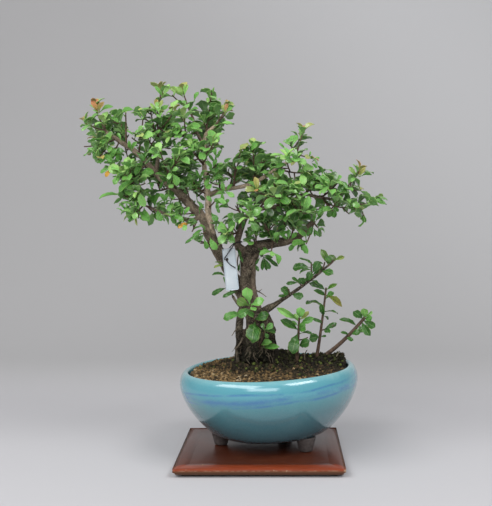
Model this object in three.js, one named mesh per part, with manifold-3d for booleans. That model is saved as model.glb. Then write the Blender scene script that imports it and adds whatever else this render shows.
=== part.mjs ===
// Flowering quince bonsai, growing in a round glazed bowl on three feet that stands on a lacquered board.
// Millimetres, +Z up. The origin is on the underside of the board, below the middle of the bowl,
// and the side that the tree shows faces -Y.
import * as THREE from 'three';
import { mergeVertices } from 'three/addons/utils/BufferGeometryUtils.js';
import Module from 'manifold-3d';

const wasm = await Module();
wasm.setup();

// Driving dimensions
const GAP = 0.3; // left between two pieces that rest against each other
const BOARD = { width: 193, depth: 190, height: 11.5, centre: [-12, -21], corner: 5 };
const MOUTH_RADIUS = 94;
const BOWL_LEAN = THREE.MathUtils.degToRad(-2.2); // the right side of the lip is the higher one
const LEAN_PIVOT = 40; // height of the point that the bowl leans about
const DRAIN_RADIUS = 9;
const FEET = [[41.5, -44.8], [-59.5, -13.5], [18, 58.3]];
const FOOT = { bottom: 8.2, top: 12.5, height: 17 };
const ROUND_SEGMENTS = 32;
const SCREEN = { side: 34, thickness: 0.8, hole: 5, pitch: 7.5 };
const SOIL_EDGE = 99; // height of the soil where it meets the lip
const SOIL_SHOULDER = { radius: 94.6, z: 97.5 }; // where it leaves the wall of the bowl
const SOIL_RINGS = [92.6, 84, 71, 55, 37, 18]; // radii of the rings of its surface
const MOUND = { from: [-24, 2], to: [84, 20], rise: 13.5, spread: 25, slope: 24 };
const STEM_BURIED = 36; // length of stem below the surface of the soil
const TAG = { width: 15.6, height: 50, thickness: 0.8, corner: 2, top: [-47.2, -14, 247.4], lean: 0.085 };
const TAG_HOLE = { radius: 1.8, across: -3, down: 13 };
const WIRE = { radius: 0.7, steps: 26 };

const LEAF_LENGTH = 16;
const LEAF_THICKNESS = 0.8;
// The shape of a leaf, in shares of its length
const LEAF = { wide: 0.32, wideAt: 0.62, blunt: 0.15, bluntAt: 0.95, rise: 0.05, curl: 0.12 };
const LEAF_ROOM = 0.4; // kept free round a leaf, on every side
const LEAF_SHARE = 0.28; // of the leaf places on a twig that are filled, from its tip back
const TWIG = { base: 1.5, fork: 0.6, tip: 1.1, sag: 0.1, sides: 3 };

// Leaves crowd at the end of a twig, the youngest innermost, and stand singly from there to its bare root.
// Places are shares of the twig, leans are degrees from it, and young is a share of the full length.
const CROWDED = { count: 5, from: 0.97, step: 0.02, lean: 30, opening: 9, young: 0.66, growth: 0.09 };
const SINGLE = { spacing: 6, from: 0.88, stretch: 0.7, share: 0.75, lean: 62 };
const VARIED = { lean: 16, length: 0.36, roll: 70, turn: 0.5 }; // the whole range of each draw
const TURN = THREE.MathUtils.degToRad(137.5); // from one leaf to the next round a twig
const TO_LIGHT = { out: 0.12, outward: 0.6, along: 0.4, up: 0.6 }; // how far leaves point and face each way
const CROWN_HEART = new THREE.Vector3(-30, 10, 290);
const UP = new THREE.Vector3(0, 0, 1);

// The bowl's section, as radius and height: from the drain hole out and up to the lip, then down the inside
const BOWL_OUTSIDE = [
  [50, 22], [63, 24.3], [74.5, 31], [82.5, 40], [95.5, 56], [103.2, 72], [107.5, 85], [106.6, 94],
  [102.6, 100.5],
];
const BOWL_LIP = [[98.5, 103.2], [95.4, 102.8], [94, 100.5]];
const BOWL_INSIDE = [[96.5, 94], [100.4, 84], [95.5, 70], [84, 50.5], [66, 35], [50, 29.5]];
const BOWL_FLOOR = { under: 23, over: 29.5 };

// The lasting wood, each limb as a row of x, y, z and radius from its root to its end
const WOOD = {
  main: [
    [-19, 4, 74, 12], [-19, 3, 100, 18], [-19, 2, 112, 17.5], [-19, 1, 128, 15], [-19, 0, 144, 13],
    [-20, -1, 162, 11], [-23, -2, 181, 10], [-26, -2, 199, 10], [-27, -2, 218, 9.5], [-25, -2, 235, 9],
    [-20, -3, 246, 8.4], [-7, -5, 250, 7.4], [9, -7, 253, 6.2], [26, -8, 256, 5.1], [40, -9, 263, 4.2],
    [49, -9, 273, 3.6], [55, -10, 280, 2.8],
  ],
  second: [[-12, 2, 181, 3.2], [-14, 3, 203, 2.7], [-16, 3, 223, 2.5], [-20, 2, 237, 2.4]],
  stump: [[0, 6, 80, 8], [0, 6, 112, 11.5], [-2, 4, 129, 9.6], [-4, 2, 153, 8], [-9, 0, 172, 5.5]],
  column: [
    [-40, 1, 76, 4], [-40, 0, 109, 4.6], [-36, -1, 130, 4.2], [-36, -2, 148, 4.6], [-33, -2, 166, 4.8],
    [-27, -2, 184, 4.6],
  ],
  left: [
    [-26, 5, 176, 8], [-35, 9, 196, 8.3], [-44, 10, 211, 8], [-52, 9, 227, 7.8], [-61, 8, 243, 7.6],
    [-68, 6, 257, 7.2], [-74, 4, 272, 6.4], [-80, 3, 285, 5.8], [-92, 2, 300, 5.4], [-108, 1, 316, 4.6],
    [-132, 0, 336, 3.9], [-155, 1, 362, 3.4], [-178, 2, 378, 2.9], [-194, 3, 389, 2.2],
  ],
  leftShoot: [
    [-80, 2, 287, 3.2], [-90, -4, 282, 2.3], [-106, -8, 285, 2.1], [-124, -10, 290, 1.9],
    [-140, -12, 297, 1.6],
  ],
  pale: [
    [-67, 5, 260, 4.6], [-71, 0, 287, 4.1], [-72, -2, 311, 3.8], [-74, -3, 332, 3.4], [-76, -3, 353, 3],
    [-75, -3, 370, 2.6], [-73, -3, 384, 2.2], [-61, -6, 394, 1.7],
  ],
  upright: [[-134, 0, 340, 3], [-131, 0, 361, 2.4], [-131, 1, 379, 1.9]],
  top: [[-75, -3, 370, 2.4], [-84, 0, 387, 2], [-89, 2, 406, 1.6]],
  bridge: [
    [-72, -2, 310, 3.2], [-57, -3, 317, 2.8], [-35, -4, 320, 2.6], [-14, -5, 326, 2.5], [3, -6, 336, 2.3],
    [23, -6, 348, 2], [34, -6, 354, 1.7],
  ],
  middle: [
    [-28, -3, 241, 5.5], [-37, -6, 253, 4.4], [-33, -8, 268, 4], [-28, -9, 281, 3.6], [-21, -10, 289, 3.2],
    [-10, -10, 294, 2.8],
  ],
  right: [
    [-22, -10, 288, 3], [-7, -9, 294, 3], [9, -8, 296, 2.8], [27, -7, 300, 2.5], [41, -6, 310, 2.3],
    [60, -5, 307, 2], [76, -5, 304, 1.8], [92, -5, 300, 1.6],
  ],
  low: [
    [-16, -4, 164, 4], [-5, -8, 171, 3.2], [10, -11, 178, 2.7], [25, -13, 191, 2.4], [42, -15, 203, 2.1],
    [58, -16, 215, 1.8], [70, -17, 225, 1.5],
  ],
  stub: [[-21, -2, 229, 6], [-15, -1, 242, 5.6], [-12, -1, 250, 4.4]],
};
const THICK_LIMBS = ['main', 'left', 'stump']; // with more sides, and ridged
const THICK_SIDES = 8;
const SLIM_SIDES = 4;
const RIDGE = 0.06; // of a thick limb, as a share of its radius

// Leafy sprays, each in a row: its name, the root and the tip of its twig, and its forks.
// A fork is the share of the twig where it leaves, and its tip.
const SPRAYS = [
  ['spray_left_tip', [-193, 3, 388], [-207, -4, 420], [[0.15, -221, 12, 401]]],
  ['spray_left_end', [-182, 2, 381], [-218, -14, 371], [[0.25, -199, -28, 354]]],
  ['spray_left_arch', [-170, 2, 373], [-172, 14, 414], [[0.45, -189, 2, 417]]],
  ['spray_left_rise', [-155, 1, 362], [-148, -14, 407], [[0.5, -155, -34, 389]]],
  ['spray_left_under', [-144, 0, 349], [-196, 18, 337], []],
  ['spray_left_hang', [-139, 0, 345], [-172, -22, 320], [[0.45, -149, -34, 315], [0.3, -166, -40, 336]]],
  ['spray_left_rear', [-175, 2, 377], [-198, 58, 400], [[0.5, -214, 46, 384]]],
  ['spray_left_back', [-124, 1, 329], [-156, 62, 371], [[0.5, -151, 60, 336]]],
  ['spray_left_heart', [-110, 1, 318], [-122, -48, 361], [[0.55, -99, -52, 355]]],
  ['spray_left_core', [-101, 1, 310], [-118, 30, 359], [[0.55, -99, 56, 347]]],
  ['spray_left_shade', [-115, 1, 322], [-162, 46, 320], []],
  ['spray_left_low', [-83, 3, 290], [-97, -16, 264], [[0.45, -115, -20, 281]]],
  ['spray_shoot_end', [-138, -11, 297], [-178, -16, 314], [[0.3, -159, -26, 284], [0.15, -137, 4, 285]]],
  ['spray_upright_side', [-131, 0, 367], [-109, 22, 395], [[0.5, -122, 44, 402]]],
  ['spray_upright_top', [-131, 1, 377], [-132, 4, 423], [[0.45, -125, -12, 437], [0.3, -108, -26, 409]]],
  ['spray_top_left', [-89, 2, 405], [-100, 0, 436], [[0.4, -114, 8, 433]]],
  ['spray_top_low', [-84, 0, 387], [-111, -22, 380], [[0.45, -94, -44, 399]]],
  ['spray_top_mid', [-75, -3, 377], [-66, 10, 435], [[0.45, -82, 26, 432]]],
  ['spray_top_right', [-62, -6, 393], [-45, -13, 417], [[0.45, -37, 6, 420]]],
  ['spray_top_lean', [-75, -3, 365], [-45, 20, 396], [[0.45, -65, 52, 402]]],
  ['spray_pale_front', [-75, -3, 347], [-88, -30, 366], [[0.4, -60, -46, 370]]],
  ['spray_pale_right', [-74, -3, 335], [-53, -18, 352], []],
  ['spray_bridge_tip', [33, -6, 354], [44, -8, 390], [[0.4, 25, 6, 379], [0.2, 57, -18, 351]]],
  ['spray_bridge_low', [13, -6, 342], [42, -26, 335], [[0.5, 23, -40, 350]]],
  ['spray_bridge_rise', [-16, -5, 325], [-16, -12, 371], [[0.45, -4, 8, 359]]],
  ['spray_bridge_bud', [-40, -4, 319], [-39, 2, 353], [[0.45, -31, -24, 360]]],
  ['spray_bridge_rear', [-6, -5, 331], [-25, 46, 348], [[0.5, 5, 52, 355]]],
  ['spray_middle_tip', [-10, -10, 294], [11, -20, 327], [[0.55, -12, -42, 315]]],
  ['spray_middle_left', [-27, -9, 282], [-49, 8, 308], [[0.4, -57, 24, 296]]],
  ['spray_middle_front', [-20, -10, 289], [-20, -50, 283], []],
  ['spray_middle_low', [-33, -8, 268], [-47, -28, 264], [[0.5, -53, -6, 275]]],
  ['spray_right_one', [11, -8, 296], [29, -46, 319], [[0.55, 8, -62, 308]]],
  ['spray_right_two', [29, -7, 301], [42, -44, 288], []],
  ['spray_right_three', [42, -6, 310], [70, 4, 337], [[0.5, 55, 34, 339]]],
  ['spray_right_four', [63, -5, 306], [84, -12, 328], [[0.5, 73, -40, 323]]],
  ['spray_right_top', [80, -5, 303], [109, -8, 337], [[0.5, 119, 14, 322]]],
  ['spray_right_end', [91, -5, 300], [139, 0, 299], [[0.55, 111, -24, 279]]],
  ['spray_right_under', [66, -5, 306], [77, -20, 281], [[0.3, 100, 16, 287]]],
  ['spray_right_rear', [21, -7, 299], [39, 48, 274], [[0.5, 62, 50, 297], [0.3, 8, 50, 271]]],
  ['spray_right_back', [0, -9, 295], [-8, 50, 315], [[0.55, 25, 56, 322]]],
  ['spray_elbow_tip', [54, -9, 278], [66, -8, 265], [[0.15, 45, -26, 246]]],
  ['spray_elbow_rise', [27, -8, 256], [34, -16, 291], []],
  ['spray_elbow_front', [11, -7, 253], [-5, -32, 280], [[0.3, 2, -30, 236]]],
  ['spray_low_tip', [70, -17, 225], [83, -22, 236], [[0.15, 64, -8, 241]]],
  ['spray_low_mid', [47, -15, 206], [40, -6, 232], [[0.15, 61, -24, 197]]],
  ['spray_low_root', [25, -13, 191], [22, -24, 206], []],
  ['shoot_front', [-13, -9, 147], [-24, -30, 189], [[0.45, -38, -34, 173]]],
  ['shoot_front_low', [-9, -7, 124], [-18, -36, 152], [[0.4, 1, -34, 152]]],
  ['shoot_left', [-31, -3, 173], [-59, -23, 204], []],
  ['shoot_stone', [33, -4, 116], [36, -18, 169], [[0.5, 48, -28, 145]]],
  ['shoot_tall', [57, 9, 112], [68, 0, 200], [[0.5, 83, -4, 177]]],
  ['shoot_slanted', [64, 11, 112], [115, -2, 162], []],
];
const IN_SOIL = ['shoot_stone', 'shoot_tall', 'shoot_slanted']; // the rest grow out of the wood
const SHOOT_RADIUS = 2.1; // of the three in the soil, at the root

const MATERIALS = {
  board: { color: 0x5a1f12, roughness: 0.28, metalness: 0 },
  glaze: { color: 0x4f9fae, roughness: 0.15, metalness: 0 },
  screen: { color: 0x1d1d1d, roughness: 0.6, metalness: 0 },
  soil: { color: 0x4a3524, roughness: 0.95, metalness: 0 },
  bark: { color: 0x5b4a40, roughness: 0.85, metalness: 0 },
  leaf: { color: 0x3f7d3a, roughness: 0.5, metalness: 0 },
  tag: { color: 0xe9ecee, roughness: 0.45, metalness: 0 },
  wire: { color: 0x17181a, roughness: 0.5, metalness: 0 },
};

const group = new THREE.Group();
group.name = 'quince_bonsai';

// A closed mesh of points and triangles, made a solid for joining and cutting
function solidOf(geometry) {
  geometry.deleteAttribute('normal');
  geometry.deleteAttribute('uv');
  const merged = mergeVertices(geometry, 1e-4);
  const corners = merged.index.array;
  const kept = [];
  for (let i = 0; i < corners.length; i += 3) {
    const [a, b, c] = corners.slice(i, i + 3);
    if (a !== b && b !== c && c !== a) kept.push(a, b, c);
  }
  const vertProperties = new Float32Array(merged.attributes.position.array);
  return new wasm.Manifold(new wasm.Mesh({ numProp: 3, vertProperties, triVerts: new Uint32Array(kept) }));
}

function geometryOf(solid) {
  const mesh = solid.getMesh();
  const geometry = new THREE.BufferGeometry();
  geometry.setAttribute('position', new THREE.BufferAttribute(mesh.vertProperties, 3));
  geometry.setIndex(new THREE.BufferAttribute(mesh.triVerts, 1));
  geometry.computeVertexNormals();
  return geometry;
}

function largestBody(solid) {
  const bodies = solid.decompose();
  return bodies.reduce((best, body) => (body.volume() > best.volume() ? body : best));
}

function addMesh(name, solid, material, parent = group) {
  const mesh = new THREE.Mesh(geometryOf(solid), new THREE.MeshStandardMaterial(MATERIALS[material]));
  mesh.name = name;
  parent.add(mesh);
}

// A skin over rings of points, all with the same count, closed by a fan at each end.
// Seen from the last ring, a ring runs anticlockwise.
function skin(rings) {
  const count = rings[0].length;
  const points = rings.flat();
  const triangles = [];
  for (let row = 0; row + 1 < rings.length; row += 1) {
    for (let i = 0; i < count; i += 1) {
      const a = row * count + i;
      const b = row * count + ((i + 1) % count);
      triangles.push(a, b, b + count, a, b + count, a + count);
    }
  }
  const middle = (ring) => ring.reduce((sum, p) => sum.add(p), new THREE.Vector3()).divideScalar(count);
  const first = points.push(middle(rings[0])) - 1;
  const last = points.push(middle(rings.at(-1))) - 1;
  const start = (rings.length - 1) * count;
  for (let i = 0; i < count; i += 1) {
    const next = (i + 1) % count;
    triangles.push(first, next, i, last, start + i, start + next);
  }
  const geometry = new THREE.BufferGeometry().setFromPoints(points);
  geometry.setIndex(triangles);
  return solidOf(geometry);
}

// Draws from 0 to 1 that are the same on every run
function seededDraws(seed) {
  let state = seed;
  return () => {
    state = (state * 16807) % 2147483647;
    return state / 2147483647;
  };
}

// A round limb through stations of x, y, z and radius, thicker all round and longer at both ends by grow
function limb(stations, sides, grow = 0, ridge = 0) {
  const points = stations.map(([x, y, z]) => new THREE.Vector3(x, y, z));
  const across = new THREE.Vector3(1, 0, 0);
  const rings = points.map((point, i) => {
    const before = points[Math.max(i - 1, 0)];
    const after = points[Math.min(i + 1, points.length - 1)];
    const along = after.clone().sub(before).normalize();
    across.addScaledVector(along, -across.dot(along)).normalize();
    const beside = along.clone().cross(across);
    const end = Number(after === point) - Number(before === point); // -1 at the root and 1 at the tip
    const centre = point.clone().addScaledVector(along, end * grow);
    return Array.from({ length: sides }, (_, k) => {
      const angle = (2 * Math.PI * k) / sides;
      const radius = stations[i][3] * (1 + ridge * Math.cos(3 * angle + 0.7 * i)) + grow;
      return centre.clone()
        .addScaledVector(across, radius * Math.cos(angle))
        .addScaledVector(beside, radius * Math.sin(angle));
    });
  });
  return skin(rings);
}

function unite(solids) {
  return wasm.Manifold.union(solids);
}

// The board: a square with eased corners, cushioned on top and drawn in below
function boardSolid() {
  const sections = [[4.5, 0], [1.2, 1.6], [0, 4.2], [0.8, 6.6], [3, 8.8], [7, 10.6], [13, BOARD.height]];
  const rings = sections.map(([inset, z]) => {
    const halfWidth = BOARD.width / 2 - inset;
    const halfDepth = BOARD.depth / 2 - inset;
    const outline = [];
    for (let corner = 0; corner < 4; corner += 1) {
      const signX = corner === 0 || corner === 3 ? 1 : -1;
      const signY = corner < 2 ? 1 : -1;
      for (const step of [0, 0.5, 1]) {
        const angle = (corner + step) * (Math.PI / 2);
        outline.push(new THREE.Vector3(
          BOARD.centre[0] + signX * (halfWidth - BOARD.corner) + BOARD.corner * Math.cos(angle),
          BOARD.centre[1] + signY * (halfDepth - BOARD.corner) + BOARD.corner * Math.sin(angle),
          z,
        ));
      }
    }
    return outline;
  });
  return skin(rings);
}

// The bowl stands a little askew on its feet, and its soil leans with it
function leaned(solid) {
  const turn = new THREE.Matrix4()
    .makeTranslation(0, 0, LEAN_PIVOT)
    .multiply(new THREE.Matrix4().makeRotationY(BOWL_LEAN))
    .multiply(new THREE.Matrix4().makeTranslation(0, 0, -LEAN_PIVOT));
  return solid.transform(turn.elements);
}

function bowlSolid() {
  const section = [
    [DRAIN_RADIUS, BOWL_FLOOR.under], ...BOWL_OUTSIDE, ...BOWL_LIP, ...BOWL_INSIDE,
    [DRAIN_RADIUS, BOWL_FLOOR.over],
  ];
  const profile = section.map(([radius, z]) => new THREE.Vector2(radius, z));
  profile.push(profile[0].clone());
  const turned = new THREE.LatheGeometry(profile, ROUND_SEGMENTS).rotateX(Math.PI / 2);
  const feet = FEET.map(([x, y]) => {
    const foot = new THREE.CylinderGeometry(FOOT.top, FOOT.bottom, FOOT.height, 10).rotateX(Math.PI / 2);
    return solidOf(foot.translate(x, y, BOARD.height + GAP + FOOT.height / 2));
  });
  const hollow = leaned(skin(insideRings(0)));
  return unite([leaned(solidOf(turned)), ...feet.map((foot) => foot.subtract(hollow))]);
}

// Rings up the inside wall of the bowl, drawn in by a clearance
function insideRings(clearance) {
  const wall = [...BOWL_INSIDE].reverse().concat([BOWL_LIP[2]]);
  return wall.map(([radius, z]) => circle(radius - clearance, z + clearance));
}

function circle(radius, z) {
  return Array.from({ length: ROUND_SEGMENTS }, (_, k) => {
    const angle = (2 * Math.PI * k) / ROUND_SEGMENTS;
    return new THREE.Vector3(radius * Math.cos(angle), radius * Math.sin(angle), z);
  });
}

// The surface of the soil: level at the edge, with a mound from the trunk to the right, and crumbly all over
function soilHeight(x, y) {
  const from = new THREE.Vector2(...MOUND.from);
  const along = new THREE.Vector2(...MOUND.to).sub(from);
  const offset = new THREE.Vector2(x, y).sub(from);
  const share = THREE.MathUtils.clamp(offset.dot(along) / along.lengthSq(), 0, 1);
  const away = offset.addScaledVector(along, -share).length();
  const inward = THREE.MathUtils.clamp((MOUTH_RADIUS - Math.hypot(x, y)) / MOUND.slope, 0, 1);
  const mound = MOUND.rise * Math.exp(-((away / MOUND.spread) ** 2)) * inward ** 0.7;
  const lumps = 0.9 * Math.sin(0.19 * x + 1) * Math.sin(0.23 * y) + 0.6 * Math.sin(0.43 * x + 0.37 * y);
  return SOIL_EDGE + mound + lumps * inward;
}

function soilSolid() {
  const rings = insideRings(GAP);
  rings.pop();
  rings.push(circle(SOIL_SHOULDER.radius, SOIL_SHOULDER.z));
  for (const radius of SOIL_RINGS) {
    rings.push(circle(radius, 0).map((p) => p.setZ(soilHeight(p.x, p.y))));
  }
  return leaned(skin(rings));
}

// A ring of corners round a hole, running clockwise
function holeRim(x, y, radius, count) {
  return new THREE.Path(Array.from({ length: count }, (_, k) => {
    const angle = 0.2 - (2 * Math.PI * k) / count;
    return new THREE.Vector2(x + radius * Math.cos(angle), y + radius * Math.sin(angle));
  }));
}

// The plastic mesh that keeps the soil from the drain hole
function screenShape() {
  const half = SCREEN.side / 2;
  const outline = new THREE.Shape([
    new THREE.Vector2(-half, -half), new THREE.Vector2(half, -half),
    new THREE.Vector2(half, half), new THREE.Vector2(-half, half),
  ]);
  for (const column of [-1, 0, 1]) {
    for (const row of [-1, 0, 1]) {
      outline.holes.push(holeRim(column * SCREEN.pitch, row * SCREEN.pitch, SCREEN.hole / 2, 4));
    }
  }
  return outline;
}

function screenSolid() {
  const plate = new THREE.ExtrudeGeometry(screenShape(), { depth: SCREEN.thickness, bevelEnabled: false });
  return leaned(solidOf(plate.translate(0, 0, BOWL_FLOOR.over + GAP)));
}

function screenRoom() {
  const side = SCREEN.side + 2 * GAP;
  const box = new THREE.BoxGeometry(side, side, 2 * SCREEN.thickness + 2 * GAP);
  return leaned(solidOf(box.translate(0, 0, BOWL_FLOOR.over + SCREEN.thickness)));
}

// The trunk and its lasting limbs, grown into one piece
function woodSolid(grow) {
  const limbs = Object.entries(WOOD).map(([name, stations]) => {
    const thick = THICK_LIMBS.includes(name);
    return limb(stations, thick ? THICK_SIDES : SLIM_SIDES, grow, thick ? RIDGE : 0);
  });
  return unite(limbs);
}

// The tag hangs in front of the left limb by a wire that passes through its hole and round the middle limb
function tagPlace() {
  return new THREE.Matrix4()
    .makeTranslation(...TAG.top)
    .multiply(new THREE.Matrix4().makeRotationY(-TAG.lean));
}

function tagSolid() {
  const half = TAG.width / 2;
  const outline = new THREE.Shape([
    new THREE.Vector2(-half, -TAG.height), new THREE.Vector2(half, -TAG.height),
    new THREE.Vector2(half, -TAG.corner), new THREE.Vector2(half - TAG.corner / 3, -TAG.corner / 3),
    new THREE.Vector2(half - TAG.corner, 0), new THREE.Vector2(TAG.corner - half, 0),
    new THREE.Vector2(TAG.corner / 3 - half, -TAG.corner / 3), new THREE.Vector2(-half, -TAG.corner),
  ]);
  outline.holes.push(holeRim(TAG_HOLE.across, -TAG_HOLE.down, TAG_HOLE.radius, 10));
  const plate = new THREE.ExtrudeGeometry(outline, { depth: TAG.thickness, bevelEnabled: false });
  plate.translate(0, 0, -TAG.thickness / 2).rotateX(Math.PI / 2);
  return solidOf(plate.applyMatrix4(tagPlace()));
}

// The wire's route: its free end on the face of the tag, the hole, up behind the tag and round the limb
const WIRE_ROUTE = [
  [-39, -16.2, 224], [-44.5, -16.6, 227.5], [-48.4, -17, 231.6], [-49.1, -16, 234], [-49.1, -14, 234.7],
  [-49.1, -12, 235.6], [-48.8, -11.2, 238.5], [-47.5, -11.3, 244], [-45, -12, 249], [-41, -12.2, 252.5],
  [-36.8, -11.9, 254], [-32.7, -10, 254.4], [-31.1, -6.2, 254.6], [-32.9, -2.2, 255], [-37, -0.6, 255.5],
  [-41.1, -2.4, 255.6], [-42.8, -6.4, 255], [-44.2, -11, 253], [-46.8, -14.4, 250], [-49.2, -15.6, 246],
  [-51.3, -15.6, 240],
];

function wireSolid() {
  const route = new THREE.CatmullRomCurve3(WIRE_ROUTE.map((point) => new THREE.Vector3(...point)));
  const section = new THREE.Shape();
  section.absarc(0, 0, WIRE.radius, 0, 2 * Math.PI, false);
  const options = { steps: WIRE.steps, bevelEnabled: false, extrudePath: route, curveSegments: 3 };
  return solidOf(new THREE.ExtrudeGeometry(section, options));
}

// A twig is a curve from its root to its tip that sags a little on the way
function twigOf(root, tip) {
  const bend = root.clone().add(tip).multiplyScalar(0.5);
  bend.z -= TWIG.sag * root.distanceTo(tip);
  return {
    length: root.distanceTo(tip),
    at: (share) => root.clone().multiplyScalar((1 - share) ** 2)
      .addScaledVector(bend, 2 * share * (1 - share))
      .addScaledVector(tip, share ** 2),
    along: (share) => bend.clone().sub(root).multiplyScalar(1 - share)
      .addScaledVector(tip.clone().sub(bend), share).normalize(),
  };
}

// A fork starts thin, inside the twig that carries it
function twigSolid(twig, rootRadius, grow = 0) {
  const radii = [[0, rootRadius], [0.5, TWIG.tip + 0.2], [1, TWIG.tip]];
  return limb(radii.map(([share, radius]) => [...twig.at(share), radius]), TWIG.sides, grow);
}

function twigsOf([, root, tip, forks]) {
  const main = twigOf(new THREE.Vector3(...root), new THREE.Vector3(...tip));
  const side = forks.map(([share, ...end]) => twigOf(main.at(share), new THREE.Vector3(...end)));
  return [main, ...side];
}

// The buried length of a shoot that comes out of the soil
function buriedStem([, root], grow = 0) {
  const foot = [root[0], root[1], root[2] - STEM_BURIED - grow, SHOOT_RADIUS];
  const middle = [root[0], root[1], root[2] - STEM_BURIED / 2, SHOOT_RADIUS];
  return limb([foot, middle, [...root, SHOOT_RADIUS]], 6, grow);
}

// Where the leaves of a twig sit, from its tip back.
// Each place takes four draws, whether or not a leaf grows there.
function leafPlaces(twig, draw) {
  const spaced = Math.round((SINGLE.share * twig.length) / SINGLE.spacing);
  const start = 2 * Math.PI * draw();
  return Array.from({ length: CROWDED.count + spaced }, (_, k) => {
    const crowded = k < CROWDED.count;
    const passed = (k - CROWDED.count + 0.5) / spaced;
    const share = crowded ? CROWDED.from - CROWDED.step * k : SINGLE.from - SINGLE.stretch * passed;
    const degrees = crowded ? CROWDED.lean + CROWDED.opening * k : SINGLE.lean;
    const lean = THREE.MathUtils.degToRad(degrees + VARIED.lean * (draw() - 0.5));
    const young = crowded ? CROWDED.young + CROWDED.growth * k : 1;
    const length = LEAF_LENGTH * young * (1 + VARIED.length * (draw() - 0.5));
    const roll = THREE.MathUtils.degToRad(VARIED.roll * (draw() - 0.5));
    const turn = start + k * TURN + VARIED.turn * (draw() - 0.5);
    return leafFrame(twig, share, lean, turn, roll, length);
  });
}

// The root of a leaf, its direction, the way across it and the way that its upper face looks
function leafFrame(twig, share, lean, turn, roll, length) {
  const along = twig.along(share);
  const root = twig.at(share);
  const reference = Math.abs(along.z) < 0.9 ? UP : new THREE.Vector3(1, 0, 0);
  const side = reference.clone().cross(along).normalize();
  const lift = along.clone().cross(side);
  const out = along.clone().multiplyScalar(Math.cos(lean))
    .addScaledVector(side, Math.sin(lean) * Math.cos(turn))
    .addScaledVector(lift, Math.sin(lean) * Math.sin(turn));
  out.addScaledVector(UP, TO_LIGHT.out).normalize();
  const face = root.clone().sub(CROWN_HEART).normalize().multiplyScalar(TO_LIGHT.outward)
    .addScaledVector(along, TO_LIGHT.along).addScaledVector(UP, TO_LIGHT.up);
  face.addScaledVector(out, -face.dot(out)).normalize().applyAxisAngle(out, roll);
  return { root, out, face, across: face.clone().cross(out), length };
}

// One leaf: a curled blade, widest past its middle and blunt at its end, with the same split on both faces.
// With room, it is the space kept free round the leaf, from its neck outwards.
function bladeSolid(leaf, room = 0) {
  const half = LEAF_THICKNESS / 2 + room;
  const place = ([share, width, rise], level) => leaf.root.clone()
    .addScaledVector(leaf.out, share * leaf.length)
    .addScaledVector(leaf.across, width * leaf.length + Math.sign(width) * room)
    .addScaledVector(leaf.face, rise * leaf.length + level);
  const end = LEAF.bluntAt + room / leaf.length;
  const necks = [1, -1].map((hand) => [LEAF.wideAt / 2, (hand * LEAF.wide) / 2, LEAF.rise / 2]);
  const outline = [
    ...(room > 0 ? necks : [[0, 0, 0]]),
    [LEAF.wideAt, -LEAF.wide, LEAF.rise], [end, -LEAF.blunt, LEAF.rise - LEAF.curl],
    [end, LEAF.blunt, LEAF.rise - LEAF.curl], [LEAF.wideAt, LEAF.wide, LEAF.rise],
  ];
  const count = outline.length;
  const points = [-half, half].flatMap((level) => outline.map((corner) => place(corner, level)));
  const faces = room > 0 ? [[0, 1, 2], [0, 2, 5], [2, 3, 4], [2, 4, 5]] : [[0, 1, 4], [1, 2, 3], [1, 3, 4]];
  const triangles = faces.flatMap(([a, b, c]) => [a, c, b, a + count, b + count, c + count]);
  for (let i = 0; i < count; i += 1) {
    const next = (i + 1) % count;
    triangles.push(i, next, next + count, i, next + count, i + count);
  }
  const geometry = new THREE.BufferGeometry().setFromPoints(points);
  geometry.setIndex(triangles);
  return solidOf(geometry);
}

function boxOf(solid) {
  const { min, max } = solid.boundingBox();
  return new THREE.Box3(new THREE.Vector3(...min), new THREE.Vector3(...max));
}

function meets(solid, box, others) {
  return others.some((other) => other.box.intersectsBox(box) && solid.intersect(other.solid).volume() > 1e-6);
}

function boxed(solid, owner) {
  return { solid, box: boxOf(solid), owner };
}

const wood = woodSolid(0);
const woodRoom = woodSolid(GAP);
const tag = tagSolid();
const wire = wireSolid();
const sprays = SPRAYS.map((row, index) => {
  const twigs = twigsOf(row);
  const rootRadius = IN_SOIL.includes(row[0]) ? SHOOT_RADIUS : TWIG.base;
  const sticks = twigs.map((twig, i) => twigSolid(twig, i === 0 ? rootRadius : TWIG.fork));
  if (IN_SOIL.includes(row[0])) sticks.push(buriedStem(row));
  return { name: row[0], twigs, sticks, draw: seededDraws(7919 * (index + 1)), leaves: [] };
});

// A leaf stays off the wood, the tag and its wire, the soil, every twig but its own, and every other leaf
const obstacles = [boxed(woodRoom, null), boxed(tag, null), boxed(wire, null)];
const soilWhole = soilSolid();
obstacles.push(boxed(soilWhole, null));
for (const spray of sprays) {
  for (const stick of spray.sticks) obstacles.push(boxed(stick, spray));
}
for (const spray of sprays) {
  for (const [i, twig] of spray.twigs.entries()) {
    let due = 1 - LEAF_SHARE;
    for (const leaf of leafPlaces(twig, spray.draw)) {
      due += LEAF_SHARE;
      if (due < 1) continue;
      const guard = bladeSolid(leaf, LEAF_ROOM);
      const others = obstacles.filter((other) => other.solid !== spray.sticks[i]);
      if (meets(guard, boxOf(guard), others)) continue;
      const blade = bladeSolid(leaf);
      spray.leaves.push(blade);
      obstacles.push(boxed(blade, spray));
      due -= 1;
    }
  }
}

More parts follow.
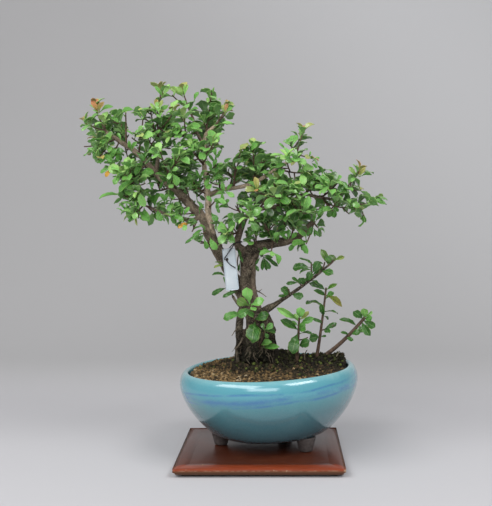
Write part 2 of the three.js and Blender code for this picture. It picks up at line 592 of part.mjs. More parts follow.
addMesh('board', boardSolid(), 'board');
addMesh('pot', bowlSolid(), 'glaze');
addMesh('drain_screen', screenSolid(), 'screen');
const stemHoles = SPRAYS.filter((row) => IN_SOIL.includes(row[0])).flatMap((row) => [
  buriedStem(row, GAP), twigSolid(twigsOf(row)[0], SHOOT_RADIUS, GAP),
]);
addMesh('soil', largestBody(soilWhole.subtract(unite([woodRoom, screenRoom(), ...stemHoles]))), 'soil');
addMesh('trunk', wood, 'bark');
for (const spray of sprays) {
  const whole = unite([...spray.sticks, ...spray.leaves]);
  addMesh(spray.name, largestBody(whole.subtract(woodRoom)), 'leaf');
}
addMesh('label_tag', tag, 'tag');
addMesh('label_wire', wire, 'wire');

export default group;
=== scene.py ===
# %% [markdown]
# # A flowering quince bonsai in its bowl
# This lesson dresses a bonsai whose solids are already fixed. A bonsai is three crafts at once: a glazed
# bowl, a lacquered board and a living tree. Each is modelled the way its maker would, and each stays where
# the solids are. Lengths are typed in millimetres, as a potter or a joiner would give them, and scaled once
# by MM.

# %% Load the frame
import math

import bpy
import numpy as np
from mathutils import Euler, Matrix, Vector, noise
from mathutils.bvhtree import BVHTree


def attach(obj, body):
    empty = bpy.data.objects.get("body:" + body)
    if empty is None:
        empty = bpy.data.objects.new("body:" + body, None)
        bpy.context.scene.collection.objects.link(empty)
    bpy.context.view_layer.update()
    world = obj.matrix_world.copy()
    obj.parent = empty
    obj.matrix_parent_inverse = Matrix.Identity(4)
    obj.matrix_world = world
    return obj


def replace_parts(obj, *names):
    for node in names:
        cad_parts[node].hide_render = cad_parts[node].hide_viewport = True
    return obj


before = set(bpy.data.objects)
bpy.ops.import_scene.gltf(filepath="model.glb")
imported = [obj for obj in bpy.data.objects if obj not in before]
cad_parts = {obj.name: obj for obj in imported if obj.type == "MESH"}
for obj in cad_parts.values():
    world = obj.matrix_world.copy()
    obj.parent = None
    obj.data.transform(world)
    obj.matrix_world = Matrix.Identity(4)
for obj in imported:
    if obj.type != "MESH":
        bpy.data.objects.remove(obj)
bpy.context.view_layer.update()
MM = 0.001

# %% [markdown]
# ## The camera
# The view comes first, because every later choice is judged through it. The camera stands a little over a
# metre away, at the height of the lower branches, turned slightly left and down. A long lens keeps the
# bowl's ellipse flat.

# %% Place the camera
CAMERA_AT = Vector((20.25, -1063.55, 288.38)) * MM
CAMERA_TURN = {"left": 2.54, "down": 2.55, "roll": 0.82}
LENS_MM = 62.86
SENSOR_MM = 36


def camera_turn():
    turn = Matrix.Rotation(math.radians(CAMERA_TURN["left"]), 4, "Z")
    turn = turn @ Matrix.Rotation(math.radians(-CAMERA_TURN["down"]), 4, "X")
    turn = turn @ Matrix.Rotation(math.radians(CAMERA_TURN["roll"]), 4, "Y")
    return turn @ Matrix.Rotation(math.radians(90), 4, "X")


bpy.ops.object.camera_add(location=CAMERA_AT)
camera = bpy.context.object
camera.rotation_euler = camera_turn().to_euler()
camera.data.lens = LENS_MM
camera.data.sensor_width = SENSOR_MM
bpy.context.scene.camera = camera
print("camera", [round(axis, 3) for axis in camera.location])

# %% [markdown]
# ## Small helpers for the bench
# Operators act on whatever is selected, so a helper picks exactly the pieces that the next step needs.
# Another adds a modifier and applies it at once, so that a finished piece is plain mesh.

# %% Pick pieces and apply modifiers
def let_go():
    bpy.ops.object.select_all(action="DESELECT")


def set_mode(mode):
    bpy.ops.object.mode_set(mode=mode)


def pick(*pieces):
    let_go()
    for piece in pieces:
        piece.select_set(True)
    bpy.context.view_layer.objects.active = pieces[0]


def apply_modifier(piece, kind, **settings):
    pick(piece)
    bpy.ops.object.modifier_add(type=kind)
    modifier = piece.modifiers[-1]
    for setting, value in settings.items():
        setattr(modifier, setting, value)
    bpy.ops.object.modifier_apply(modifier=modifier.name)


def named(name):
    piece = bpy.context.object
    piece.name = name
    piece.data.name = name
    return piece


def settle(piece):
    pick(piece)
    bpy.ops.object.transform_apply(location=True, rotation=True, scale=True)


def shade_piece(piece, crease=None):
    """Shade a piece smoothly. Edges that bend by more degrees than the crease stay sharp."""
    pick(piece)
    if crease is None:
        bpy.ops.object.shade_smooth()
    else:
        bpy.ops.object.shade_smooth_by_angle(angle=math.radians(crease))


def coat(piece, material):
    piece.data.materials.clear()
    piece.data.materials.append(material)


def triangles(piece):
    return sum(len(face.vertices) - 2 for face in piece.data.polygons)


def seeded_draws(seed):
    state = seed
    while True:
        state = state * 16807 % 2147483647
        yield state / 2147483647


# %% [markdown]
# ## Node helpers and shared patterns
# Materials are small networks of nodes. One helper adds a node and wires it in one call. Two patterns serve
# several finishes, so each is a node group: mottling, which keeps any colour from being flat, and fissures,
# the torn net that dries into bark and clay.

# %% Add nodes and build the shared groups
def put(owner, kind, inputs=None, **settings):
    """Add a node and fill its inputs. The owner is the node tree, or any socket in it."""
    tree = owner.id_data
    made = tree.nodes.new(kind)
    for setting, value in settings.items():
        setattr(made, setting, value)
    for socket, value in (inputs or {}).items():
        if isinstance(value, bpy.types.NodeSocket):
            tree.links.new(value, made.inputs[socket])
        else:
            made.inputs[socket].default_value = value
    return made


def maths(operation, *values, clamp=False):
    owner = next(value for value in values if isinstance(value, bpy.types.NodeSocket))
    made = put(owner, "ShaderNodeMath", dict(enumerate(values)), operation=operation, use_clamp=clamp)
    return made.outputs[0]


def times(first, second, clamp=False):
    return maths("MULTIPLY", first, second, clamp=clamp)


def about_zero(value):
    """A value that ran from 0 to 1, moved to run from -0.5 to 0.5."""
    return maths("SUBTRACT", value, 0.5)


def ranged(value, low, high, to_low=0.0, to_high=1.0, smooth=False):
    kind = "SMOOTHSTEP" if smooth else "LINEAR"
    sockets = {"Value": value, "From Min": low, "From Max": high, "To Min": to_low, "To Max": to_high}
    return put(value, "ShaderNodeMapRange", sockets, interpolation_type=kind).outputs["Result"]


def blend(share, first, second):
    """Mix two colours, each a socket or three numbers."""
    colours = [side if isinstance(side, bpy.types.NodeSocket) else (*side, 1) for side in (first, second)]
    sockets = {0: share, 6: colours[0], 7: colours[1]}
    return put(share, "ShaderNodeMix", sockets, data_type="RGBA").outputs[2]


def ramp(value, stops):
    made = put(value, "ShaderNodeValToRGB", {"Fac": value})
    elements = made.color_ramp.elements
    for i, (place, colour) in enumerate(stops):
        element = elements[i] if i < 2 else elements.new(place)
        element.position = place
        element.color = (*colour, 1)
    return made.outputs["Color"]


def new_material(name, **settings):
    material = bpy.data.materials.new(name)
    material.use_nodes = True
    shader = material.node_tree.nodes["Principled BSDF"]
    for socket, value in settings.items():
        shader.inputs[socket.replace("_", " ")].default_value = value
    return material, material.node_tree, shader


def object_place(tree, scale=(1, 1, 1)):
    place = put(tree, "ShaderNodeTexCoord").outputs["Object"]
    return put(tree, "ShaderNodeMapping", {"Vector": place, "Scale": scale}).outputs["Vector"]


def axes_of(place):
    return put(place, "ShaderNodeSeparateXYZ", {0: place}).outputs


def distance_to(place, spot):
    """How far each place is from a spot given in millimetres."""
    sockets = {0: place, 1: [length * MM for length in spot]}
    return put(place, "ShaderNodeVectorMath", sockets, operation="DISTANCE").outputs["Value"]


def soft_noise(place, scale, detail):
    sockets = {"Vector": place, "Scale": scale, "Detail": detail}
    return put(place, "ShaderNodeTexNoise", sockets).outputs["Fac"]


def feed(shader, **sources):
    """Wire each value into the socket of that name."""
    for socket, source in sources.items():
        shader.id_data.links.new(source, shader.inputs[socket.replace("_", " ")])


def bump(shader, height, strength, distance):
    sockets = {"Height": height, "Strength": strength, "Distance": distance}
    feed(shader, Normal=put(height, "ShaderNodeBump", sockets).outputs["Normal"])


def new_group(name, sockets_in, sockets_out):
    group = bpy.data.node_groups.new(name, "ShaderNodeTree")
    for socket, kind, value in sockets_in:
        made = group.interface.new_socket(socket, in_out="INPUT", socket_type=kind)
        if value is not None:
            made.default_value = value
    for socket in sockets_out:
        group.interface.new_socket(socket, in_out="OUTPUT", socket_type="NodeSocketFloat")
    return group, put(group, "NodeGroupInput"), put(group, "NodeGroupOutput")


def mottle_group():
    sockets = [("Vector", "NodeSocketVector", None), ("Scale", "NodeSocketFloat", 50.0),
               ("Contrast", "NodeSocketFloat", 0.5)]
    group, entry, leave = new_group("mottle", sockets, ["Value"])
    given = entry.outputs
    sockets = {"Vector": given["Vector"], "Scale": given["Scale"], "Detail": 5.0, "Roughness": 0.6}
    broad = put(group, "ShaderNodeTexNoise", sockets).outputs["Fac"]
    strong = times(about_zero(broad), given["Contrast"])
    feed(leave, Value=maths("MULTIPLY_ADD", strong, 4.0, 0.5, clamp=True))
    return group


def fissure_group():
    sockets = [("Vector", "NodeSocketVector", None), ("Scale", "NodeSocketFloat", 100.0),
               ("Width", "NodeSocketFloat", 0.2)]
    group, entry, leave = new_group("fissures", sockets, ["Crack"])
    given = entry.outputs
    sockets = {"Vector": given["Vector"], "Scale": given["Scale"], "Detail": 3.0}
    wander = put(group, "ShaderNodeTexNoise", sockets).outputs["Color"]
    shift = put(group, "ShaderNodeVectorMath", {0: wander, "Scale": 0.012}, operation="SCALE").outputs[0]
    place = put(group, "ShaderNodeVectorMath", {0: given["Vector"], 1: shift}).outputs[0]
    sockets = {"Vector": place, "Scale": given["Scale"]}
    edge = put(group, "ShaderNodeTexVoronoi", sockets, feature="DISTANCE_TO_EDGE").outputs["Distance"]
    feed(leave, Crack=ranged(edge, 0.0, given["Width"], 1.0, 0.0))
    return group


MOTTLE = mottle_group()
FISSURES = fissure_group()


def mottled(place, scale, contrast):
    sockets = {"Vector": place, "Scale": scale, "Contrast": contrast}
    return put(place, "ShaderNodeGroup", sockets, node_tree=MOTTLE).outputs["Value"]


def cracked(place, scale, width):
    sockets = {"Vector": place, "Scale": scale, "Width": width}
    return put(place, "ShaderNodeGroup", sockets, node_tree=FISSURES).outputs["Crack"]


print("shared node groups", MOTTLE.name, FISSURES.name)

# %% [markdown]
# ## The bowl
# A potter throws a bowl on a wheel, so it is a section turned round an axis. The section is drawn by
# extruding one point along it, and Spin is the wheel. The mouth draws in over a full shoulder, and the wall
# is thick. A subdivision surface then rounds the section, as a wet sponge would.

# %% Throw the bowl
BOWL_LEAN = math.radians(-2.2)
LEAN_PIVOT = 40 * MM
WHEEL_STEPS = 64
BOWL_SECTION = [
    (0, 22), (30, 22), (50, 22.2), (64, 24.2), (74.5, 30.6), (83, 39.5), (96, 55), (104, 71), (107.9, 84),
    (107.6, 93), (104.6, 100.2), (101.6, 103.2), (98.6, 103.8), (96.4, 101.8), (96, 97), (99.4, 85),
    (95.5, 70), (84, 50.5), (66, 35), (50, 29.5), (30, 29.4), (0, 29.4),
]


def draw_line(name, points):
    """A line of edges, drawn by extruding one point from place to place."""
    let_go()
    bpy.ops.mesh.primitive_plane_add(size=MM, location=points[0])
    line = named(name)
    settle(line)
    set_mode("EDIT")
    bpy.ops.mesh.select_all(action="SELECT")
    bpy.ops.mesh.merge(type="CENTER")
    for before, after in zip(points, points[1:]):
        step = Vector(after) - Vector(before)
        bpy.ops.mesh.extrude_region_move(TRANSFORM_OT_translate={"value": step})
    set_mode("OBJECT")
    return line


def throw_bowl():
    bowl = draw_line("glazed_bowl", [(radius * MM, 0, height * MM) for radius, height in BOWL_SECTION])
    set_mode("EDIT")
    bpy.ops.mesh.select_all(action="SELECT")
    bpy.ops.mesh.spin(steps=WHEEL_STEPS, angle=2 * math.pi, center=(0, 0, 0), axis=(0, 0, 1))
    bpy.ops.mesh.select_all(action="SELECT")
    bpy.ops.mesh.remove_doubles(threshold=0.05 * MM)
    bpy.ops.mesh.normals_make_consistent(inside=False)
    set_mode("OBJECT")
    apply_modifier(bowl, "SUBSURF", levels=1, render_levels=1)
    return bowl


bowl = throw_bowl()
print("bowl", len(bowl.data.vertices), "points")

# %% [markdown]
# ### Its feet
# Three squat feet are stuck on before firing. Each is a cone with its end eased, and a union grows it into
# the wall. The drain hole is cut through last, with the same cutter that a potter would use: a cylinder.

# %% Add the feet and the drain hole
FEET = [(41.5, -44.8), (-59.5, -13.5), (18, 58.3)]
FOOT_BOTTOM = 7.6
FOOT_TOP = 12
FOOT_SOLE = 11.8
FOOT_REACH = 28.5
DRAIN_RADIUS = 9


def foot_at(x, y):
    depth = (FOOT_REACH - FOOT_SOLE) * MM
    middle = (x * MM, y * MM, FOOT_SOLE * MM + depth / 2)
    let_go()
    bpy.ops.mesh.primitive_cone_add(vertices=40, radius1=FOOT_BOTTOM * MM, radius2=FOOT_TOP * MM, depth=depth,
                                    location=middle)
    foot = named("foot")
    settle(foot)
    apply_modifier(foot, "BEVEL", width=1.4 * MM, segments=3)
    return foot


def lean(piece):
    about = Matrix.Translation((0, 0, LEAN_PIVOT))
    piece.data.transform(about @ Matrix.Rotation(BOWL_LEAN, 4, "Y") @ about.inverted())


def join_by(piece, other, operation):
    apply_modifier(piece, "BOOLEAN", operation=operation, solver="MANIFOLD", object=other)
    bpy.data.objects.remove(other)


lean(bowl)
for x, y in FEET:
    join_by(bowl, foot_at(x, y), "UNION")
let_go()
bpy.ops.mesh.primitive_cylinder_add(vertices=32, radius=DRAIN_RADIUS * MM, depth=30 * MM,
                                    location=(0, 0, 26 * MM))
drill = named("drill")
settle(drill)
join_by(bowl, drill, "DIFFERENCE")
shade_piece(bowl, crease=40)
print("bowl with feet", triangles(bowl), "triangles")

# %% [markdown]
# ### Its glaze
# The glaze is thin and pale on the lip, turquoise on the shoulder and deeper below, where it ran and
# pooled. Three thin blue lines wander round the shoulder. Height along the bowl's own axis picks the
# colour, slow noise bends each line, and a clear coat gives the wet shine. The feet stay bare clay.

# %% Mix the glaze
GLAZE_STOPS = [
    (0.0, (0.045, 0.15, 0.21)), (0.2, (0.045, 0.175, 0.225)), (0.5, (0.048, 0.2, 0.245)),
    (0.66, (0.058, 0.27, 0.32)), (0.8, (0.064, 0.33, 0.42)), (0.92, (0.08, 0.345, 0.42)),
    (1.0, (0.2, 0.47, 0.51)),
]
GLAZE_LOW = 20
GLAZE_HIGH = 104.5
GLAZE_SPECK = (0.5, 0.72, 0.72)
# Each line: its height, its sway, its width, its strength and a number that sets it apart
BLUE_LINES = [(83, 3.2, 3.2, 1.0, 1.0), (77.5, 3.6, 1.5, 1.0, 5.0), (90, 3.0, 1.3, 0.9, 9.0)]
LINE_RISE = 0.05
LINE_SPREAD = 1.7
LINE_BLUE = (0.028, 0.18, 0.4)
BARE_CLAY = (0.057, 0.047, 0.044)
PALE_CLAY = (0.13, 0.11, 0.105)


def glaze_material():
    material, tree, shader = new_material("glaze", Coat_Roughness=0.15, Coat_IOR=1.55, IOR=1.5)
    place = object_place(tree)
    axes = axes_of(place)
    height = maths("MULTIPLY_ADD", axes["X"], math.sin(BOWL_LEAN), axes["Z"])
    flow = mottled(object_place(tree, (1, 1, 0.15)), 60.0, 0.4)
    wavered = maths("MULTIPLY_ADD", about_zero(flow), 7 * MM, height)
    colour = ramp(ranged(wavered, GLAZE_LOW * MM, GLAZE_HIGH * MM), GLAZE_STOPS)
    for level, sway, width, strength, seed in BLUE_LINES:
        sockets = {"Vector": place, "Location": (seed, 0, 0), "Scale": (9, 9, 0)}
        drift = soft_noise(put(place, "ShaderNodeMapping", sockets).outputs[0], 1.0, 1.5)
        line = maths("MULTIPLY_ADD", about_zero(drift), 4 * sway * MM, level * MM)
        rising = maths("MULTIPLY_ADD", axes["X"], LINE_RISE, line)
        away = maths("ABSOLUTE", maths("SUBTRACT", height, rising))
        mark = ranged(away, 0.0, LINE_SPREAD * width * MM, 1.0, 0.0, smooth=True)
        patchy = ranged(mottled(object_place(tree, (1, 1, 2)), 25.0 + seed, 0.7), 0.25, 0.75)
        colour = blend(times(times(mark, patchy), strength), colour, LINE_BLUE)
    speck = mottled(place, 900.0, 0.35)
    colour = blend(ranged(speck, 0.0, 1.0, 0.0, 0.14), colour, GLAZE_SPECK)
    clay = blend(mottled(place, 300.0, 0.6), BARE_CLAY, PALE_CLAY)
    flat_place = object_place(tree, (1, 1, 0))
    low = ranged(axes["Z"], 30 * MM, 29 * MM)
    bare = ranged(axes["Z"], 20 * MM, 19.5 * MM)
    for x, y in FEET:
        away = distance_to(flat_place, (x, y, 0))
        on_foot = ranged(away, (FOOT_TOP + 0.6) * MM, (FOOT_TOP - 0.2) * MM)
        bare = maths("MAXIMUM", bare, times(on_foot, low))
    bump(shader, mottled(place, 130.0, 0.3), 0.12, 0.4 * MM)
    feed(shader, Base_Color=blend(bare, colour, clay),
         Roughness=ranged(bare, 0.0, 1.0, 0.16, 0.75),
         Coat_Weight=ranged(bare, 0.0, 1.0, 0.85, 0.0))
    return material


coat(bowl, glaze_material())
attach(bowl, "root")
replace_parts(bowl, "pot")
print("glaze on", bowl.name)

# %% [markdown]
# ## The board
# The display board is one square of wood, lacquered red-brown. Its edge is cut in two planes that meet in a
# sharp arris two thirds of the way up: a long one that curves in to the foot, and above it a short rounded
# slope. The face is extruded and drawn in step by step, which keeps the mitred corners crisp.

# %% Cut the board
BOARD = {"width": 190, "depth": 187, "x": -11.4, "y": -19.5, "corner": 2}
ARRIS_HEIGHT = 8
SLOPE_UP = [(0.5, 0.5), (1.3, 0.76), (2.4, 0.72), (3.4, 0.63), (4.2, 0.55), (4.0, 0.31), (0.3, 0.02),
            (0.5, 0.01)]
SLOPE_DOWN = [(0.3, 1.2), (0.6, 2.2), (0.9, 1.6), (1.6, 1.0), (4.5, 0.3), (0.1, 1.7)]


def cut_board():
    let_go()
    middle = (BOARD["x"] * MM, BOARD["y"] * MM, ARRIS_HEIGHT * MM)
    bpy.ops.mesh.primitive_cube_add(size=1, location=middle)
    board = named("display_board")
    board.scale = (BOARD["width"] * MM, BOARD["depth"] * MM, 0.02 * MM)
    settle(board)
    set_mode("EDIT")
    bpy.ops.mesh.select_all(action="DESELECT")
    set_mode("OBJECT")
    for edge in board.data.edges:
        first, second = (board.data.vertices[i].co for i in edge.vertices)
        edge.select = abs(first.z - second.z) > 0.01 * MM
    set_mode("EDIT")
    bpy.ops.mesh.select_mode(type="EDGE")
    bpy.ops.mesh.bevel(offset=BOARD["corner"] * MM, segments=4, affect="EDGES")
    bpy.ops.mesh.select_mode(type="FACE")
    for steps, side in ((SLOPE_UP, 1), (SLOPE_DOWN, -1)):
        bpy.ops.mesh.select_all(action="DESELECT")
        set_mode("OBJECT")
        for face in board.data.polygons:
            face.select = face.normal.z * side > 0.9
        set_mode("EDIT")
        width, depth = BOARD["width"], BOARD["depth"]
        for inward, rise in steps:
            bpy.ops.mesh.extrude_region_move(TRANSFORM_OT_translate={"value": (0, 0, side * rise * MM)})
            shrink = (1 - 2 * inward / width, 1 - 2 * inward / depth, 1)
            bpy.ops.transform.resize(value=shrink, center_override=middle)
            width, depth = width - 2 * inward, depth - 2 * inward
    set_mode("OBJECT")
    shade_piece(board, crease=28)
    return board


board = cut_board()
print("board", [round(side / MM, 1) for side in board.dimensions])

# %% [markdown]
# ### Its lacquer
# Lacquer is coloured film over grain: dark maroon on the flat. The front slope is painted warmer and lighter,
# as painted light from the lamps. The arris has worn through to pale wood, with a few chips, and its pale
# line also stands for a painted highlight. Fine scratches cross the middle where pots were slid, and the
# bottom edge is painted near black as painted shadow under the board.

# %% Lay the lacquer
LACQUER_DARK = (0.083, 0.021, 0.008)
LACQUER_FRONT_LIGHT = (0.325, 0.056, 0.015)
WORN_WOOD = (0.095, 0.042, 0.013)
DARK_GRAIN = (0.03, 0.006, 0.004)
CLOUD_RED = (0.16, 0.035, 0.015)
PAINTED_SHADOW_UNDER_BOARD = (0.012, 0.008, 0.006)
CHIPS_AND_ARRIS_GLINT = (0.45, 0.31, 0.2)
SCRATCH = (0.4, 0.22, 0.13)
SCUFFED_AT = (-5, -70, 11.5)
CHIPS = [(-91, -112, 9, 1.7), (5, -112.6, 8.4, 1.5), (19, -112.6, 8, 1.8), (82.6, -112.5, 8, 2.4),
         (-74, -99, 11.4, 1.8), (-106, -60, 8.2, 1.7), (83.2, 20, 8.2, 1.5), (-30, 73.6, 8.2, 1.6)]


def lacquer_material():
    material, tree, shader = new_material("board_lacquer", Coat_Weight=0.24, Coat_Roughness=0.16, IOR=1.4)
    place = object_place(tree)
    axes = axes_of(place)
    grain = mottled(object_place(tree, (1, 14, 14)), 26.0, 0.7)
    clouds = mottled(place, 30.0, 0.5)
    # Painted light: the front slope is painted warmer and lighter, and the other sides get a little of it.
    front_light = ranged(axes["Z"], 11.45 * MM, 10.7 * MM, smooth=True)
    front_light = times(front_light, ranged(axes["Y"], -94 * MM, -102 * MM, 0.12, 1.0, smooth=True))
    colour = blend(front_light, LACQUER_DARK, LACQUER_FRONT_LIGHT)
    colour = blend(ranged(grain, 0.0, 1.0, 0.0, 0.4), colour, DARK_GRAIN)
    colour = blend(ranged(clouds, 0.4, 1.0, 0.0, 0.25), colour, CLOUD_RED)
    below = ranged(axes["Z"], (ARRIS_HEIGHT + 0.2) * MM, (ARRIS_HEIGHT - 0.8) * MM)
    colour = blend(times(below, 0.85), colour, WORN_WOOD)
    # Painted shadow: the lowest two millimetres of the edge are painted near black, as the shade under the
    # board.
    colour = blend(ranged(axes["Z"], 2.6 * MM, 2.1 * MM), colour, PAINTED_SHADOW_UNDER_BOARD)
    # The pale line along the arris is partly wear through to the wood and partly a painted highlight; the
    # chips are wear.
    from_arris = maths("ABSOLUTE", maths("SUBTRACT", axes["Z"], ARRIS_HEIGHT * MM))
    ragged = ranged(mottled(object_place(tree, (1, 1, 3)), 170.0, 0.9), 0.35, 0.7)
    wear_and_glint = times(times(ranged(from_arris, 0.9 * MM, 0.1 * MM), ragged), 0.45)
    for *spot, size in CHIPS:
        torn = mottled(place, 700.0, 0.9)
        rough_edge = maths("MULTIPLY_ADD", torn, 1.2 * MM, distance_to(place, spot))
        wear_and_glint = maths("MAXIMUM", wear_and_glint, ranged(rough_edge, size * MM, 0.6 * size * MM))
    colour = blend(wear_and_glint, colour, CHIPS_AND_ARRIS_GLINT)
    scratches = ranged(soft_noise(object_place(tree, (0.25, 6, 6)), 160.0, 2.0), 0.66, 0.72)
    middle = ranged(distance_to(place, SCUFFED_AT), 60 * MM, 30 * MM)
    scuffed = times(scratches, middle)
    colour = blend(times(scuffed, 0.5), colour, SCRATCH)
    worn = maths("MULTIPLY_ADD", clouds, 0.1, maths("MAXIMUM", wear_and_glint, scuffed))
    bump(shader, maths("SUBTRACT", times(grain, 0.25), wear_and_glint), 0.2, 0.3 * MM)
    feed(shader, Base_Color=colour, Roughness=ranged(worn, 0.0, 1.0, 0.3, 0.7))
    return material


coat(board, lacquer_material())
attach(board, "root")
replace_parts(board, "board")
print("lacquer on", board.name)

# %% [markdown]
# ## Copies of one shape
# Leaves, soil granules and moss are each one small shape met hundreds of times. The shape is modelled once,
# and this helper writes its copies into one mesh, each turned, sized and placed by a matrix. Single values,
# such as a leaf's age, are kept on the copies as attributes for the material to read.

# %% Write many copies into one mesh
def read_shape(piece):
    mesh = piece.data
    points = np.array([point.co for point in mesh.vertices])
    faces = [np.array(face.vertices) for face in mesh.polygons]
    layer = mesh.uv_layers.active
    uvs = np.array([loop.uv for loop in layer.data]) if layer else np.zeros((len(mesh.loops), 2))
    under = mesh.attributes.get("under")
    shaded = np.array([value.value for value in under.data]) if under else np.zeros(len(mesh.polygons))
    return {"points": points, "faces": faces, "uvs": uvs, "under": shaded}


def keep_values(mesh, name, values, domain="POINT"):
    made = mesh.attributes.new(name, "FLOAT", domain)
    made.data.foreach_set("value", np.asarray(values, np.float32))


def write_copies(name, shapes, copies, value_names):
    """One mesh of many copies. Each copy is the number of its shape, its matrix and its values."""
    points, faces, uvs, under = [], [], [], []
    values = {value_name: [] for value_name in value_names}
    start = 0
    for which, matrix, numbers in copies:
        shape = shapes[which]
        turn = np.array(matrix)
        points.append(shape["points"] @ turn[:3, :3].T + turn[:3, 3])
        faces.extend((face + start).tolist() for face in shape["faces"])
        uvs.append(shape["uvs"])
        under.append(shape["under"])
        for value_name, number in zip(value_names, numbers):
            values[value_name].append(np.full(len(shape["points"]), number))
        start += len(shape["points"])
    mesh = bpy.data.meshes.new(name)
    mesh.from_pydata(np.concatenate(points).tolist(), [], faces)
    mesh.uv_layers.new(name="UVMap").data.foreach_set("uv", np.concatenate(uvs).astype(np.float32).ravel())
    keep_values(mesh, "under", np.concatenate(under), "FACE")
    for value_name, numbers in values.items():
        keep_values(mesh, value_name, np.concatenate(numbers))
    mesh.shade_smooth()
    piece = bpy.data.objects.new(name, mesh)
    bpy.context.scene.collection.objects.link(piece)
    return piece


def attribute(tree, name):
    return put(tree, "ShaderNodeAttribute", attribute_name=name).outputs["Fac"]


# %% [markdown]
# ## The soil
# The bowl is filled with fired clay granules, raised into a mound from the trunk to the right, where moss
# and old roots hold it. First comes the mass itself: a disc of rings, lifted to the height that the solids
# give, and closed by a plug that follows the wall down.

# %% Fill the bowl
MOUTH_RADIUS = 94
SOIL_EDGE = 99
MOUND_FROM = Vector((-24, 2))
MOUND_TO = Vector((84, 20))
MOUND_RISE = 13.5
MOUND_SPREAD = 25
MOUND_SLOPE = 24
SOIL_RINGS = 30
SOIL_RADIUS = 94.6
PLUG_DEPTH = 45
HUMPS = [(18, 24, 18, 7), (90, 4, 13, 12), (52, 14, 18, -2.5), (-4, 14, 14, 3), (-50, 58, 42, 3.5)]


def clamp(value):
    return min(max(value, 0), 1)


def mound_share(x, y):
    along = MOUND_TO - MOUND_FROM
    offset = Vector((x, y)) - MOUND_FROM
    share = clamp(offset.dot(along) / along.length_squared)
    away = (offset - share * along).length
    inward = clamp((MOUTH_RADIUS - math.hypot(x, y)) / MOUND_SLOPE)
    return math.exp(-((away / MOUND_SPREAD) ** 2)) * inward**0.7


def soil_height(x, y):
    inward = clamp((MOUTH_RADIUS - math.hypot(x, y)) / MOUND_SLOPE)
    lumps = 0.9 * math.sin(0.19 * x + 1) * math.sin(0.23 * y) + 0.6 * math.sin(0.43 * x + 0.37 * y)
    hump = sum(rise * math.exp(-((x - hx) ** 2 + (y - hy) ** 2) / reach**2) for hx, hy, reach, rise in HUMPS)
    return SOIL_EDGE + MOUND_RISE * mound_share(x, y) + lumps * inward + hump


def on_soil(x, y, above=0.0):
    """A point on the soil of the leaning bowl, in metres."""
    height = soil_height(x, y) * MM + above - LEAN_PIVOT
    turn = Matrix.Rotation(BOWL_LEAN, 3, "Y")
    return turn @ Vector((x * MM, y * MM, height)) + Vector((0, 0, LEAN_PIVOT))


def fill_bowl():
    let_go()
    bpy.ops.mesh.primitive_circle_add(vertices=96, radius=SOIL_RADIUS * MM, fill_type="NGON")
    soil = named("soil_fill")
    set_mode("EDIT")
    bpy.ops.mesh.select_mode(type="FACE")
    bpy.ops.mesh.select_all(action="SELECT")
    for _ in range(SOIL_RINGS):
        bpy.ops.mesh.inset(thickness=SOIL_RADIUS * MM / (SOIL_RINGS + 1))
    bpy.ops.mesh.poke()
    bpy.ops.mesh.select_all(action="SELECT")
    bpy.ops.mesh.select_mode(type="EDGE")
    bpy.ops.mesh.region_to_loop()
    bpy.ops.mesh.extrude_region_move(TRANSFORM_OT_translate={"value": (0, 0, -40 * MM)})
    bpy.ops.transform.resize(value=(0.9, 0.9, 1), center_override=(0, 0, 0))
    bpy.ops.mesh.edge_face_add()
    bpy.ops.mesh.select_all(action="SELECT")
    bpy.ops.mesh.normals_make_consistent(inside=False)
    set_mode("OBJECT")
    for point in soil.data.vertices:
        x, y = point.co.x / MM, point.co.y / MM
        if point.co.z > -20 * MM:
            grit = 0.5 * noise.noise(Vector((x, y, 0)) * 0.6) * MM
            point.co = on_soil(x, y, grit - 0.6 * MM)
        else:
            point.co = on_soil(x, y, -PLUG_DEPTH * MM)
    shade_piece(soil)
    return soil


soil = fill_bowl()
print("soil", triangles(soil), "triangles")

# %% [markdown]
# ### Granules, crumbs and moss
# A granule starts as a cube, because a subdivided cube rounds into an even pebble with few faces. Three of
# them, dented differently, are enough. Moss is a small ball with every face drawn out to a point. Rows of
# places are jittered by a seeded draw, and what lands there depends on how near the mound is.

# %% Model a granule and a tuft of moss
def granule_shape(seed):
    let_go()
    bpy.ops.mesh.primitive_cube_add(size=1)
    granule = named(f"granule_{seed}")
    set_mode("EDIT")
    bpy.ops.mesh.subdivide(number_cuts=1, smoothness=0.9)
    set_mode("OBJECT")
    for point in granule.data.vertices:
        point.co *= 1 + 0.5 * noise.noise(point.co * 1.7 + Vector((seed * 5.3, 0, 0)))
    shape = read_shape(granule)
    bpy.data.objects.remove(granule)
    return shape


def tuft_shape():
    let_go()
    bpy.ops.mesh.primitive_ico_sphere_add(subdivisions=1, radius=0.32)
    tuft = named("tuft")
    set_mode("EDIT")
    bpy.ops.mesh.select_all(action="SELECT")
    bpy.ops.mesh.poke(offset=0.42)
    set_mode("OBJECT")
    shape = read_shape(tuft)
    bpy.data.objects.remove(tuft)
    return shape


GRANULES = [granule_shape(seed) for seed in (1, 2, 3)]
TUFT = tuft_shape()
print("granule", len(GRANULES[0]["faces"]), "faces, tuft", len(TUFT["faces"]))

# %% Strew them over the soil
GRANULE_PITCH = 2.6
SOIL_SEED = 4211
JITTER = 0.7
FLATNESS = 0.8
FOOT_TUFTS = 190
SHADED_SIDE = 0.0018
MOSSY_SPOTS = [(-20, -4, 24, 1.0), (20, 8, 28, 1.0), (62, 12, 30, 1.0), (84, 2, 22, 1.0), (-48, 44, 18, 0.6),
               (-40, -20, 9, 0.7), (40, -38, 16, 0.5), (-70, 20, 12, 0.4)]
TRUNK_FOOT = Vector((-17, 3))
TRUNK_CLEAR = 13
TUFTS_FROM = 112


